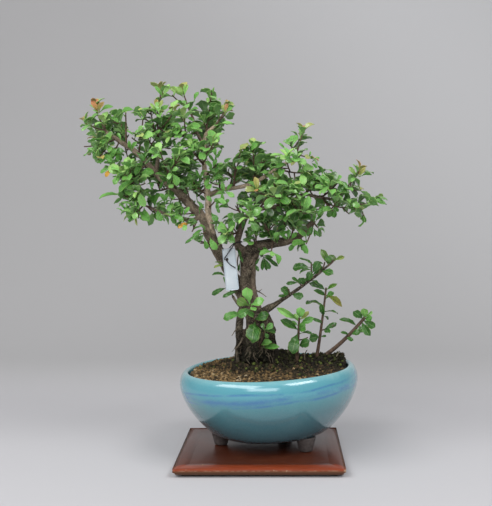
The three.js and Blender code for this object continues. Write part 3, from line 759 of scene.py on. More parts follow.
def mossiness(x, y):
    return max(weight * math.exp(-(((x - mx) ** 2 + (y - my) ** 2) / reach**2))
               for mx, my, reach, weight in MOSSY_SPOTS)


def turned(at, size, draws):
    angles = Euler([2 * math.pi * next(draws) for _ in range(3)])
    shape = Matrix.Diagonal((size, size * (0.7 + 0.5 * next(draws)), size * FLATNESS, 1))
    return Matrix.Translation(at) @ angles.to_matrix().to_4x4() @ shape


def strew():
    draws = seeded_draws(SOIL_SEED)
    granules, mosses = [], []
    rows = int(MOUTH_RADIUS / GRANULE_PITCH)
    for row in range(-rows, rows + 1):
        for column in range(-rows, rows + 1):
            x = (column + 0.5 * (row % 2) + JITTER * (next(draws) - 0.5)) * GRANULE_PITCH
            y = (row + JITTER * (next(draws) - 0.5)) * GRANULE_PITCH
            picked, size, tone, high = (next(draws) for _ in range(4))
            if math.hypot(x, y) > SOIL_RADIUS - 2 or (Vector((x, y)) - TRUNK_FOOT).length < TRUNK_CLEAR:
                continue
            moss = mossiness(x, y)
            if picked < 0.85 * moss:
                width = (2.4 + 3.2 * size) * MM
                shade = 0.15 + 0.5 * tone + (0.35 if high > 0.86 else 0.0)
                at = on_soil(x, y, 0.3 * width * high)
                mosses.append((0, turned(at, width, draws), [shade]))
            else:
                width = (1.7 + 1.5 * size**2) * MM
                shade = 0.07 + 0.6 * tone + 0.3 * (1 - moss) * high + (0.25 if high > 0.97 else 0)
                # Painted shade: granules are made darker towards the right side.
                shade = clamp(shade - 0.4 * moss - SHADED_SIDE * (x + 40))
                at = on_soil(x, y, (0.1 + 0.3 * high) * width)
                granules.append((int(3 * picked * 0.999), turned(at, width, draws), [shade]))
    for _ in range(FOOT_TUFTS):
        turn, high, size, tone = (next(draws) for _ in range(4))
        turn = 2 * math.pi * turn
        away = 21 - 11 * high
        x = TRUNK_FOOT.x + away * math.cos(turn)
        y = TRUNK_FOOT.y + away * math.sin(turn)
        at = Vector((x, y, TUFTS_FROM + 16 * high)) * MM
        mosses.append((0, turned(at, (3.5 + 3.5 * size) * MM, draws), [0.05 + 0.4 * tone**2]))
    return granules, mosses


granule_copies, moss_copies = strew()
granules = write_copies("soil_granules", GRANULES, granule_copies, ["shade"])
moss = write_copies("moss_tufts", [TUFT], moss_copies, ["shade"])
print(len(granule_copies), "granules", len(moss_copies), "tufts", triangles(granules) + triangles(moss))

# %% [markdown]
# ### Their colours
# Granules run from almost black where they are wet to fired orange and dry straw, and they are painted darker
# towards the right as painted shade. The shade kept on each copy picks its place on that scale, and a fine
# mottle roughens it.

# %% Colour the soil
GRANULE_STOPS = [(0.0, (0.012, 0.01, 0.008)), (0.35, (0.05, 0.036, 0.019)), (0.62, (0.15, 0.097, 0.042)),
                 (0.87, (0.29, 0.185, 0.078)), (1.0, (0.44, 0.35, 0.22))]
MOSS_STOPS = [(0.0, (0.008, 0.008, 0.006)), (0.45, (0.03, 0.028, 0.015)), (0.75, (0.06, 0.07, 0.02)),
              (1.0, (0.17, 0.22, 0.05))]
EARTH_STOPS = [(0.0, (0.008, 0.007, 0.005)), (1.0, (0.05, 0.035, 0.02))]


def soil_material(name, stops, roughness):
    material, tree, shader = new_material(name, Roughness=roughness, Specular_IOR_Level=0.25)
    fine = mottled(object_place(tree), 900.0, 0.7)
    shade = maths("MULTIPLY_ADD", about_zero(fine), 0.3, attribute(tree, "shade"))
    feed(shader, Base_Color=ramp(shade, stops))
    bump(shader, fine, 0.5, 0.4 * MM)
    return material


def earth_material():
    material, tree, shader = new_material("earth", Roughness=0.95, Specular_IOR_Level=0.2)
    place = object_place(tree)
    feed(shader, Base_Color=ramp(mottled(place, 500.0, 0.8), EARTH_STOPS))
    bump(shader, cracked(place, 420.0, 0.3), 0.8, 1 * MM)
    return material


coat(soil, earth_material())
coat(granules, soil_material("granules", GRANULE_STOPS, 0.9))
coat(moss, soil_material("moss", MOSS_STOPS, 0.95))
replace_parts(soil, "soil")
for piece in (soil, granules, moss):
    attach(piece, "root")
print("soil pieces ride on root")

# %% [markdown]
# ## The drain screen
# A square of black plastic net lies over the drain hole, out of sight under the soil. Its shape in the
# solids is right, so it only gets a finish.

# %% Finish the drain screen
SCREEN_TONES = ((0.012, 0.012, 0.012), (0.03, 0.03, 0.028))


def plastic_material(name, tones, tone_spots, dullness, dull_spots):
    """Plastic whose colour and dullness are each mottled between two values."""
    material, tree, shader = new_material(name, IOR=1.5)
    place = object_place(tree)
    gloss = mottled(place, *dull_spots)
    feed(shader, Base_Color=blend(mottled(place, *tone_spots), *tones),
         Roughness=ranged(gloss, 0.0, 1.0, *dullness))
    return material


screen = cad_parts["drain_screen"]
coat(screen, plastic_material("screen_plastic", SCREEN_TONES, (400.0, 0.5), (0.45, 0.7), (700.0, 0.6)))
print("finished", screen.name)

# %% [markdown]
# ## The wood
# An old quince grows several stems from one foot, twists, and is cut back for years, so its limbs bend at
# knuckles. Each limb is a bevelled curve whose radius tapers, close to the stations that the solids use. A
# voxel remesh then melts the curves into one skin, which no union of tubes would do as softly at the forks.

# %% Lay out the limbs
UP = Vector((0, 0, 1))
WOOD = {
    "main": [
        (-19, 4, 74, 12), (-19, 3, 100, 18), (-19, 2, 112, 17), (-18, 1, 128, 13.5), (-18.5, 0, 144, 11.4),
        (-19, -1, 162, 9), (-24.5, -2, 181, 7.4), (-27.6, -2, 199, 6.6), (-28, -2, 218, 6.6),
        (-25.5, -2, 235, 7.4), (-20, -3, 245, 7.8), (-7, -5, 250, 7), (9, -7, 253, 6), (26, -8, 256, 5),
        (40, -9, 263, 4.2), (49, -9, 273, 3.6), (55, -10, 280, 2.8),
    ],
    "second": [
        (-12, 1, 168, 5), (-16, 1, 184, 4.2), (-18.4, 1, 200, 3.7), (-18.8, 1, 214, 3.4),
        (-17.5, 0, 228, 2.8), (-14, -1, 242, 2.8),
    ],
    "stump": [
        (1, 6, 80, 9), (1, 6, 112, 12), (-1, 4, 129, 9.8), (-3, 2, 153, 8.6), (-8.5, 0, 172, 6),
    ],
    "column": [
        (-40, 1, 76, 4), (-38.5, 0, 109, 4.6), (-36.5, -2, 130, 4.3), (-36.5, -3, 148, 4.8),
        (-34.5, -3, 166, 4.6), (-29, -2, 184, 4.4),
    ],
    "left": [
        (-18, 1, 146, 6), (-22, 3, 162, 7), (-28, 5, 178, 7.6), (-35, 8, 196, 8), (-44, 10, 211, 8),
        (-52, 9, 227, 7.8), (-61, 8, 243, 7.6), (-68, 6, 257, 7.2), (-74, 4, 272, 6.4), (-80, 3, 285, 5.8),
        (-93.6, 2, 300.4, 6.1), (-109.4, 1, 316, 5.1), (-132, 0, 336, 3.9), (-155, 1, 362, 3.4),
        (-178, 2, 378, 2.9), (-194, 3, 389, 2.2),
    ],
    "left_shoot": [
        (-80, 2, 287, 3.2), (-90, -4, 282, 2.3), (-106, -8, 285, 2.1), (-124, -10, 290, 1.9),
        (-140, -12, 297, 1.6),
    ],
    "pale": [
        (-67, 5, 260, 4.6), (-71, 0, 287, 4.1), (-72, -2, 311, 3.8), (-74, -3, 332, 3.4), (-76, -3, 353, 3),
        (-75, -3, 370, 2.6), (-73, -3, 384, 2.2), (-61, -6, 394, 1.7),
    ],
    "upright": [
        (-134, 0, 340, 3), (-131, 0, 361, 2.4), (-131, 1, 379, 1.9),
    ],
    "top": [
        (-75, -3, 370, 2.4), (-84, 0, 387, 2), (-89, 2, 406, 1.6),
    ],
    "bridge": [
        (-72, -2, 310, 3.2), (-57, -3, 317, 2.8), (-35, -4, 320, 2.6), (-14, -5, 326, 2.5),
        (3, -6, 336, 2.3), (23, -6, 348, 2), (34, -6, 354, 1.7),
    ],
    "middle": [
        (-28, -3, 241, 5.5), (-37, -6, 253, 4.4), (-33, -8, 268, 4), (-28, -9, 281, 3.6),
        (-21, -10, 289, 3.2), (-10, -10, 294, 2.8),
    ],
    "right": [
        (-22, -10, 288, 3), (-7, -9, 294, 3), (9, -8, 296, 2.8), (27, -7, 300, 2.5), (41, -6, 310, 2.3),
        (60, -5, 307, 2), (76, -5, 304, 1.8), (92, -5, 300, 1.6),
    ],
    "low": [
        (-16, -2, 160, 7), (-5, -7, 171.5, 5.4), (7, -10, 179, 3.4), (15, -12, 184.5, 2.6),
        (25, -13, 191, 2.4), (42, -15, 203, 2.1), (58, -16, 215, 1.8), (70, -17, 225, 1.5),
    ],
    "web": [
        (-31, 0, 100, 5), (-31, 0, 116, 4.5), (-31, -1, 132, 3.8), (-30.5, -1, 149, 3),
    ],
    "stub": [
        (-21, -2, 229, 6), (-15, -1, 242, 5.6), (-12, -1, 250, 4.4),
    ],
}
STEPS_PER_SPAN = 4
WOOD_SEED = 977
WOOD_VOXEL = 0.9
KNUCKLES_FROM = 112


def rounded_line(stations, steps):
    """Stations joined by a smooth curve through each, with the radius carried along."""
    rows = [np.array(row, float) for row in stations]
    rows = [2 * rows[0] - rows[1], *rows, 2 * rows[-1] - rows[-2]]
    line = []
    for i in range(1, len(rows) - 2):
        a, b, c, d = rows[i - 1:i + 3]
        for step in range(steps):
            t = step / steps
            line.append(0.5 * (2 * b + (c - a) * t + (2 * a - 5 * b + 4 * c - d) * t**2
                               + (3 * b - a - 3 * c + d) * t**3))
    line.append(rows[-2])
    return np.array(line)


WOOD_LINES = {name: rounded_line(stations, STEPS_PER_SPAN) for name, stations in WOOD.items()}
print("limbs", len(WOOD_LINES), "stations", sum(len(line) for line in WOOD_LINES.values()))

# %% Grow the wood into one skin
def tubes(name, lines, sides):
    """Bevelled curves through rows of x, y, z and radius in millimetres, made one mesh."""
    curve = bpy.data.curves.new(name, "CURVE")
    curve.dimensions = "3D"
    curve.bevel_depth = 1
    curve.bevel_resolution = sides // 4 - 1
    curve.use_fill_caps = True
    for line in lines:
        spline = curve.splines.new("POLY")
        spline.points.add(len(line) - 1)
        for point, (x, y, z, radius) in zip(spline.points, line):
            point.co = (x * MM, y * MM, z * MM, 1)
            point.radius = radius * MM
    piece = bpy.data.objects.new(name, curve)
    bpy.context.scene.collection.objects.link(piece)
    pick(piece)
    bpy.ops.object.convert(target="MESH")
    return bpy.context.object


def knuckles():
    """Old cuts and swellings on the thick limbs."""
    draws = seeded_draws(WOOD_SEED)
    bumps = []
    for name, every in (("main", 3), ("left", 4), ("stump", 3), ("middle", 4), ("pale", 6), ("bridge", 6)):
        for x, y, z, radius in WOOD_LINES[name][2::every]:
            turn = 2 * math.pi * next(draws)
            size = radius * (0.42 + 0.25 * next(draws))
            out = 0.72 * radius
            bumps.append((x + out * math.cos(turn), y + out * math.sin(turn), z, size))
    return bumps


def grow_wood():
    lines = list(WOOD_LINES.values())
    for x, y, z, size in knuckles():
        if z > KNUCKLES_FROM:
            lines.append([(x, y, z - size, 0.4 * size), (x, y, z - 0.5 * size, 0.86 * size), (x, y, z, size),
                          (x, y, z + 0.5 * size, 0.86 * size), (x, y, z + size, 0.4 * size)])
    wood = tubes("quince_wood", lines, 16)
    wood.data.remesh_voxel_size = WOOD_VOXEL * MM
    pick(wood)
    bpy.ops.object.voxel_remesh()
    apply_modifier(wood, "SMOOTH", factor=0.6, iterations=3)
    return wood


wood = grow_wood()
print("wood", triangles(wood), "triangles")

# %% [markdown]
# ### Its bark
# Bark splits along the limb, so its pattern has to know which way each limb runs. Every point looks up its
# nearest station, stretches the noise along that direction, and is pushed in or out. The nearest radius
# also says how old the wood is, and it is kept as an attribute for the colour.

# %% Raise the bark
BARK_DEPTH = 0.13
BARK_STRETCH = 0.72
# Paleness below zero makes a limb older, so darker, and gives it less painted top light.
LIMB_PALENESS = {"pale": 1, "bridge": 0.6, "stub": 0.2, "left": 0.3, "low": -1, "column": -1}


def wood_samples():
    centres, alongs, radii, pales = [], [], [], []
    for name, line in WOOD_LINES.items():
        directions = np.gradient(line[:, :3], axis=0)
        directions /= np.linalg.norm(directions, axis=1)[:, None]
        centres.append(line[:, :3])
        alongs.append(directions)
        radii.append(line[:, 3])
        pales.append(np.full(len(line), float(LIMB_PALENESS.get(name, 0))))
    return [np.concatenate(part) for part in (centres, alongs, radii, pales)]


def nearest_station(points, centres, radii):
    nearest = np.empty(len(points), int)
    for start in range(0, len(points), 4000):
        part = points[start:start + 4000]
        away = np.linalg.norm(part[:, None] - centres[None], axis=2) - radii
        nearest[start:start + 4000] = away.argmin(axis=1)
    return nearest


def raise_bark(piece):
    centres, alongs, radii, pales = wood_samples()
    points = np.array([point.co for point in piece.data.vertices]) / MM
    normals = np.array([point.normal for point in piece.data.vertices])
    nearest = nearest_station(points, centres, radii)
    lengthwise = (points * alongs[nearest]).sum(1)[:, None] * alongs[nearest]
    stretched = points - BARK_STRETCH * lengthwise
    thick = radii[nearest]
    moved = np.empty(len(points))
    for i, place in enumerate(stretched):
        ridge = noise.ridged_multi_fractal(Vector(place) * 0.23, 0.9, 2.1, 4, 0.9, 2.0)
        lump = noise.noise(Vector(points[i]) * 0.11)
        moved[i] = BARK_DEPTH * (0.55 * (ridge - 1.1) + 1.3 * lump)
    swell = moved * np.minimum(thick, 9)
    points += normals * swell[:, None]
    piece.data.vertices.foreach_set("co", (points * MM).astype(np.float32).ravel())
    ages = np.clip(thick / 14 + 0.5 * (pales[nearest] < 0), 0, 1)
    # lit is how far each point faces up, for the painted top light; limbs whose paleness is below zero get
    # about a third of it.
    kept = {"age": ages, "pale": np.maximum(pales[nearest], 0), "relief": moved,
            "lit": normals[:, 2] * np.where(pales[nearest] < 0, 0.35, 1)}
    for name, values in kept.items():
        keep_values(piece.data, name, values)
    piece.data.update()


raise_bark(wood)
shade_piece(wood)
print("bark raised on", len(wood.data.vertices), "points")

# %% [markdown]
# ### Its colours
# Young limbs are warm grey-brown, the pale limb almost bare, and the old trunk nearly black in its cracks,
# with a green film of algae low down, and lichen in patches. Relief darkens the hollows as painted shade, and
# whatever faces the sky is painted paler in the lichen colour, as painted top light.

# %% Colour the bark
YOUNG_BARK = (0.27, 0.2, 0.15)
OLD_BARK = (0.055, 0.045, 0.03)
PALE_BARK = (0.92, 0.72, 0.53)
LICHEN_AND_TOP_LIGHT = (0.27, 0.24, 0.165)
FOOT_BARK = (0.012, 0.012, 0.008)
ALGAE = (0.06, 0.065, 0.025)
PAINTED_HOLLOW_SHADE = (0.012, 0.009, 0.007)
CRACK = (0.015, 0.011, 0.008)
FRECKLE = (0.36, 0.3, 0.22)


def bark_material():
    material, tree, shader = new_material("bark", Roughness=0.88, Specular_IOR_Level=0.2)
    place = object_place(tree)
    age = attribute(tree, "age")
    patches = mottled(place, 70.0, 0.8)
    colour = blend(ranged(age, 0.25, 0.7), YOUNG_BARK, OLD_BARK)
    colour = blend(ranged(patches, 0.35, 0.85, 0.0, 0.42), colour, LICHEN_AND_TOP_LIGHT)
    # Painted light: whatever faces the sky is painted paler in the lichen colour.
    colour = blend(ranged(attribute(tree, "lit"), 0.1, 1.0, 0.0, 0.45), colour, LICHEN_AND_TOP_LIGHT)
    colour = blend(times(attribute(tree, "pale"), 0.95), colour, PALE_BARK)
    ragged = maths("MULTIPLY_ADD", patches, 22 * MM, axes_of(place)["Z"])
    foot = ranged(ragged, 166 * MM, 140 * MM)
    colour = blend(foot, colour, FOOT_BARK)
    film = times(foot, ranged(mottled(place, 220.0, 0.9), 0.5, 0.8, 0.0, 0.5))
    colour = blend(film, colour, ALGAE)
    old = ranged(age, 0.25, 0.6, 0.45, 1.0)
    # Painted shade: hollows in the relief are darkened, more on old wood.
    hollow_shade = times(ranged(attribute(tree, "relief"), -0.06, 0.05, 0.75, 0.0), old)
    colour = blend(hollow_shade, colour, PAINTED_HOLLOW_SHADE)
    crack = cracked(object_place(tree, (1, 1, 0.45)), 330.0, 0.22)
    colour = blend(times(times(crack, old), 0.6), colour, CRACK)
    freckle = ranged(mottled(place, 700.0, 0.9), 0.6, 0.8, 0.0, 0.5)
    dry = maths("SUBTRACT", 1.0, times(foot, 0.7))
    colour = blend(times(freckle, dry), colour, FRECKLE)
    feed(shader, Base_Color=colour)
    bump(shader, maths("SUBTRACT", mottled(place, 500.0, 0.8), crack), 0.7, 0.6 * MM)
    return material


coat(wood, bark_material())
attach(wood, "root")
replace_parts(wood, "trunk")
print("bark on", wood.name)

# %% [markdown]
# ### Dead twigs and roots
# Old wood keeps the stubs of dead twigs, and fine roots show where it leaves the soil. The stubs that show
# are listed. The roots are short bent threads round the foot, laid by a seeded draw.

# %% Add dead twigs and fine roots
DEAD_TWIGS = [
    [(-15, -4, 196, 0.9), (-9, -8, 193, 0.65), (-3, -12, 189, 0.4)],
    [(-13, -6, 194, 0.6), (-8, -10, 198, 0.3)],
    [(-36, -6, 152, 0.9), (-41, -9, 148, 0.65), (-45, -10, 142, 0.4)],
    [(-32, -8, 139, 1.3), (-35, -11, 133, 1.05), (-41, -12, 125, 0.8)],
    [(-38, -6, 110, 2.0), (-39, -7, 120, 1.75), (-40, -8, 128, 1.5)],
    [(42, -12, 113, 0.8), (42, -12, 119, 0.65), (45, -14, 125, 0.5)],
    [(42, -12, 119, 0.5), (39, -14, 121, 0.3)],
    [(22, -12, 122, 0.8), (23, -14, 130, 0.5)],
    [(74, -19, 230, 0.7), (79, -22, 235, 0.4)],
    [(59, -17, 215, 0.7), (61, -20, 221, 0.4)],
    [(-34, -6, 245, 0.9), (-37, -10, 231, 0.75), (-35, -6, 218, 0.6)],
    [(-22, -8, 223, 1.4), (-17, -10, 229, 1.2), (-15, -6, 237, 1.0)],
    [(-43, -12, 190, 1.6), (-38, -8, 181, 1.6), (-35, -5, 177, 1.6)],
    [(80, -8, 116, 0.8), (84, -10, 123, 0.5)],
]
ROOT_COUNT = 90
ROOT_SEED = 6007
DRY_WOOD = ((0.05, 0.038, 0.026), (0.24, 0.2, 0.145))


def fine_roots():
    draws = seeded_draws(ROOT_SEED)
    lines = []
    for k in range(ROOT_COUNT):
        turn, away, high, bend, thick = (next(draws) for _ in range(5))
        turn = 2 * math.pi * turn
        out = Vector((math.cos(turn), math.sin(turn), 0))
        side = Vector((-out.y, out.x, 0)) * 9 * (bend - 0.5)
        foot = Vector((*(TRUNK_FOOT + out.xy * 20), 116 + 18 * high))
        if k % 3 == 0:
            foot = on_soil(20 + 95 * (away - 0.35), 34 * (high - 0.45), 1.5 * MM) / MM
        radius = 0.18 + 0.3 * thick
        middle = foot + out * 5 * away + side - UP * 2
        end = foot + out * 9 * away - side * 0.4 - UP * 8
        lines.append([(*foot, radius), (*middle, radius), (*end, 0.2)])
    return lines


def dry_wood_material():
    material, tree, shader = new_material("dry_wood", Roughness=0.9, Specular_IOR_Level=0.2)
    patches = mottled(object_place(tree), 160.0, 0.9)
    feed(shader, Base_Color=blend(patches, *DRY_WOOD))
    bump(shader, patches, 0.6, 0.3 * MM)
    return material


dead_twigs = tubes("dead_twigs", [rounded_line(line, 3) for line in DEAD_TWIGS + fine_roots()], 8)
shade_piece(dead_twigs)
coat(dead_twigs, dry_wood_material())
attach(dead_twigs, "root")
print("dead twigs", triangles(dead_twigs), "triangles")

# %% [markdown]
# ## One leaf
# A quince leaf is a small spoon: wedge-shaped at the stalk, widest past the middle, round at the end,
# folded a little along its midrib and curled back. A grid is pulled to that outline row by row. Four leaves
# differ in fold and curl. Solidify gives each its thickness, and a mark on the lower faces lets the
# material paint the paler underside.

# %% Model the leaves
LEAF_OUTLINE = [(0, 0.02), (0.13, 0.035), (0.29, 0.1), (0.42, 0.19), (0.51, 0.2), (0.63, 0.275), (0.72, 0.26),
                (0.83, 0.265), (0.91, 0.18), (1, 0.03)]
LEAF_COLUMNS = 2
LEAF_SHAPES = [
    {"wide": 0.95, "fold": 0.36, "rise": 0.37, "curl": 0.6, "wave": 0.04, "twist": 0.0},
    {"wide": 0.8, "fold": 0.7, "rise": 0.3, "curl": 0.5, "wave": 0.03, "twist": 0.35},
    {"wide": 1.1, "fold": 0.16, "rise": 0.3, "curl": 0.38, "wave": 0.06, "twist": -0.25},
    {"wide": 0.84, "fold": -0.2, "rise": 0.46, "curl": 0.78, "wave": 0.05, "twist": 0.2},
]
LEAF_THICKNESS = 0.4 * MM
LEAF_LENGTH = 16


def leaf_shape(number, look):
    let_go()
    rows = len(LEAF_OUTLINE) - 1
    bpy.ops.mesh.primitive_grid_add(x_subdivisions=LEAF_COLUMNS, y_subdivisions=rows, size=2)
    leaf = named(f"leaf_{number}")
    for point in leaf.data.vertices:
        side = point.co.x
        row = round((point.co.y + 1) / 2 * rows)
        share, width = LEAF_OUTLINE[row]
        beside = side * width * look["wide"]
        drop = 0.02 * abs(side) if row == rows else 0
        height = look["rise"] * share - look["curl"] * share**2 + look["fold"] * abs(beside)
        height += look["wave"] * math.sin(9 * share + 2 * side) * abs(side) + look["twist"] * beside * share
        point.co = (share - drop, beside, height)
    pick(leaf)
    set_mode("EDIT")
    bpy.ops.mesh.select_all(action="SELECT")
    bpy.ops.mesh.normals_make_consistent(inside=False)
    set_mode("OBJECT")
    if leaf.data.polygons[len(leaf.data.polygons) // 2].normal.z < 0:
        leaf.data.flip_normals()
    apply_modifier(leaf, "SOLIDIFY", thickness=LEAF_THICKNESS / (LEAF_LENGTH * MM), offset=-1)
    keep_values(leaf.data, "under", [face.normal.z < 0 for face in leaf.data.polygons], "FACE")
    shape = read_shape(leaf)
    bpy.data.objects.remove(leaf)
    return shape


LEAVES = [leaf_shape(number, look) for number, look in enumerate(LEAF_SHAPES)]
print("leaf", len(LEAVES[0]["faces"]), "faces,", len(LEAVES), "shapes")

# %% [markdown]
# ## The sprays
# Leaves crowd at the end of each twig, the youngest innermost, and stand singly below. The rows name every
# twig with its forks, and the same seeded rule as in the solids sets each leaf, so a leaf there has its
# finer twin here, which rises a little more to the light.

# %% List the twigs
SPRAYS = [
    ("spray_left_tip", (-193, 3, 388), (-207, -4, 420), [(0.15, -221, 12, 401)]),
    ("spray_left_end", (-182, 2, 381), (-218, -14, 371), [(0.25, -199, -28, 354)]),
    ("spray_left_arch", (-170, 2, 373), (-172, 14, 414), [(0.45, -189, 2, 417)]),
    ("spray_left_rise", (-155, 1, 362), (-146, -14, 407), [(0.5, -149, -34, 381)]),
    ("spray_left_under", (-144, 0, 349), (-184, 18, 338), []),
    ("spray_left_hang", (-139, 0, 345), (-172, -22, 320), [(0.45, -149, -34, 315), (0.3, -166, -40, 336)]),
    ("spray_left_rear", (-175, 2, 377), (-198, 58, 400), [(0.5, -214, 46, 384)]),
    ("spray_left_back", (-124, 1, 329), (-156, 62, 371), [(0.5, -151, 60, 336)]),
    ("spray_left_heart", (-110, 1, 318), (-122, -48, 361), [(0.55, -99, -52, 355)]),
    ("spray_left_core", (-101, 1, 310), (-118, 30, 359), [(0.55, -99, 56, 347)]),
    ("spray_left_shade", (-115, 1, 322), (-162, 46, 320), []),
    ("spray_left_low", (-83, 3, 290), (-90, -16, 268), [(0.45, -112, -20, 286)]),
    ("spray_shoot_end", (-138, -11, 297), (-172, -16, 313), [(0.3, -159, -26, 289), (0.15, -137, 4, 291)]),
    ("spray_upright_side", (-131, 0, 367), (-109, 22, 395), [(0.5, -122, 44, 402)]),
    ("spray_upright_top", (-131, 1, 377), (-132, 4, 423), [(0.45, -125, -12, 437), (0.3, -108, -26, 409)]),
    ("spray_top_left", (-89, 2, 405), (-100, 0, 436), [(0.4, -114, 8, 433)]),
    ("spray_top_low", (-84, 0, 387), (-111, -22, 380), [(0.45, -94, -44, 399)]),
    ("spray_top_mid", (-75, -3, 377), (-66, 10, 435), [(0.45, -82, 26, 432)]),
    ("spray_top_right", (-62, -6, 393), (-47, -13, 414), [(0.45, -50, 6, 408)]),
    ("spray_top_lean", (-75, -3, 365), (-62, 20, 384), [(0.45, -69, 45, 396)]),
    ("spray_pale_front", (-75, -3, 347), (-88, -30, 366), [(0.4, -60, -46, 370)]),
    ("spray_pale_right", (-74, -3, 335), (-60, -16, 347), []),
    ("spray_bridge_tip", (33, -6, 354), (43, -8, 384), [(0.4, 27, 6, 376), (0.2, 50, -18, 354)]),
    ("spray_bridge_low", (13, -6, 342), (42, -26, 335), [(0.5, 23, -40, 350)]),
    ("spray_bridge_rise", (-16, -5, 325), (-16, -12, 366), [(0.45, -6, 8, 353)]),
    ("spray_bridge_bud", (-40, -4, 319), (-39, 2, 353), [(0.45, -31, -24, 360)]),
    ("spray_bridge_rear", (-6, -5, 331), (-25, 46, 348), [(0.5, 5, 52, 355)]),
    ("spray_middle_tip", (-10, -10, 294), (11, -20, 327), [(0.55, -12, -42, 315)]),
    ("spray_middle_left", (-27, -9, 282), (-39, 8, 298), [(0.4, -38, 22, 300)]),
    ("spray_middle_front", (-20, -10, 289), (-20, -50, 283), []),
    ("spray_middle_low", (-33, -8, 268), (-47, -28, 264), [(0.5, -53, -6, 275)]),
    ("spray_right_one", (11, -8, 296), (29, -46, 319), [(0.55, 8, -62, 308)]),
    ("spray_right_two", (29, -7, 301), (42, -44, 288), []),
    ("spray_right_three", (42, -6, 310), (68, 4, 332), [(0.5, 53, 30, 333)]),
    ("spray_right_four", (63, -5, 306), (84, -12, 324), [(0.5, 73, -40, 319)]),
    ("spray_right_top", (80, -5, 303), (109, -8, 337), [(0.5, 113, 14, 315)]),
    ("spray_right_end", (91, -5, 300), (131, 0, 299), [(0.55, 109, -24, 288)]),
    ("spray_right_under", (66, -5, 306), (77, -20, 290), [(0.3, 96, 16, 294)]),
    ("spray_right_rear", (21, -7, 299), (39, 48, 274), [(0.5, 62, 50, 297), (0.3, 8, 50, 271)]),
    ("spray_right_back", (0, -9, 295), (-8, 50, 315), [(0.55, 25, 56, 322)]),
    ("spray_elbow_tip", (54, -9, 278), (60, -8, 270), [(0.15, 45, -26, 252)]),
    ("spray_elbow_rise", (27, -8, 256), (34, -16, 291), []),
    ("spray_elbow_front", (11, -7, 253), (-5, -32, 280), [(0.3, 4, -26, 243)]),
    ("spray_low_tip", (70, -17, 225), (83, -22, 236), [(0.15, 64, -8, 241)]),
    ("spray_low_mid", (47, -15, 206), (40, -6, 232), [(0.15, 61, -24, 197)]),
    ("spray_low_root", (25, -13, 191), (22, -24, 206), []),
    ("shoot_front", (-13, -9, 147), (-24, -30, 189), [(0.45, -38, -34, 173)]),
    ("shoot_front_low", (-9, -7, 124), (-18, -36, 152), [(0.4, 1, -34, 152)]),
    ("shoot_left", (-31, -3, 173), (-59, -23, 204), []),
    ("shoot_stone", (33, -4, 116), (36, -18, 169), [(0.5, 48, -28, 145)]),
    ("shoot_tall", (57, 9, 112), (68, 0, 200), [(0.5, 83, -4, 177)]),
    ("shoot_slanted", (64, 11, 112), (115, -2, 162), []),
]
# Radius at the root, steps and radius at the tip
IN_SOIL = {"shoot_stone": (2.0, 9, 1.3), "shoot_tall": (2.4, 9, 1.1), "shoot_slanted": (3.0, 9, 1.9)}
SPRAY_SEED = 7919
TWIG_SAG = 0.1
TWIG_BASE = 1.5
TWIG_TIP = 0.75
print("sprays", len(SPRAYS), "twigs", sum(1 + len(row[3]) for row in SPRAYS))

# %% Set the leaves by rule
CROWDED = {"count": 5, "from": 0.97, "step": 0.02, "lean": 30, "opening": 9, "young": 0.66, "growth": 0.09}
SINGLE = {"spacing": 6, "from": 0.88, "stretch": 0.7, "share": 0.75, "lean": 62}
VARIED = {"lean": 16, "length": 0.36, "roll": 70, "turn": 0.5}
TURN = math.radians(137.5)
TO_LIGHT = {"out": 0.42, "outward": 0.3, "along": 0.35, "up": 0.9}
CROWN_HEART = Vector((-30, 10, 290))
SPUR = {"every": 12, "from": 0.12, "stretch": 0.75, "short": 7, "long": 14, "forward": 0.5, "rising": 0.25}
ROSETTE = {"count": 5, "from": 1.0, "step": 0.07, "lean": 32, "opening": 11, "young": 0.62, "growth": 0.1}


class Twig:
    """A curve from root to tip that sags a little on the way."""

    def __init__(self, root, tip):
        self.root = Vector(root)
        self.tip = Vector(tip)
        self.length = (self.tip - self.root).length
        self.bend = (self.root + self.tip) / 2 - UP * TWIG_SAG * self.length

    def at(self, share):
        rest = 1 - share
        return self.root * rest**2 + self.bend * (2 * share * rest) + self.tip * share**2

    def along(self, share):
        return ((self.bend - self.root) * (1 - share) + (self.tip - self.bend) * share).normalized()


def twigs_of(row):
    main = Twig(row[1], row[2])
    return [main] + [Twig(main.at(share), end) for share, *end in row[3]]


def leaf_frame(twig, share, lean_angle, turn, roll):
    along = twig.along(share)
    root = twig.at(share)
    reference = UP if abs(along.z) < 0.9 else Vector((1, 0, 0))
    side = reference.cross(along).normalized()
    lift = along.cross(side)
    out = along * math.cos(lean_angle)
    out += (side * math.cos(turn) + lift * math.sin(turn)) * math.sin(lean_angle)
    out = (out + UP * TO_LIGHT["out"]).normalized()
    face = (root - CROWN_HEART).normalized() * TO_LIGHT["outward"]
    face = face + along * TO_LIGHT["along"] + UP * TO_LIGHT["up"]
    face = (face - out * face.dot(out)).normalized()
    face = Matrix.Rotation(roll, 3, out) @ face
    return root, out, face


def crowded(crowd, k):
    """How far along, how open and how large the leaves of a crowd are, from the tip inwards."""
    share = crowd["from"] - crowd["step"] * k
    return share, crowd["lean"] + crowd["opening"] * k, crowd["young"] + crowd["growth"] * k


def varied_leaf(twig, k, start, growth, draws):
    share, degrees, young = growth
    lean_angle = math.radians(degrees + VARIED["lean"] * (next(draws) - 0.5))
    length = LEAF_LENGTH * young * (1 + VARIED["length"] * (next(draws) - 0.5))
    roll = math.radians(VARIED["roll"] * (next(draws) - 0.5))
    turn = start + k * TURN + VARIED["turn"] * (next(draws) - 0.5)
    return *leaf_frame(twig, share, lean_angle, turn, roll), length


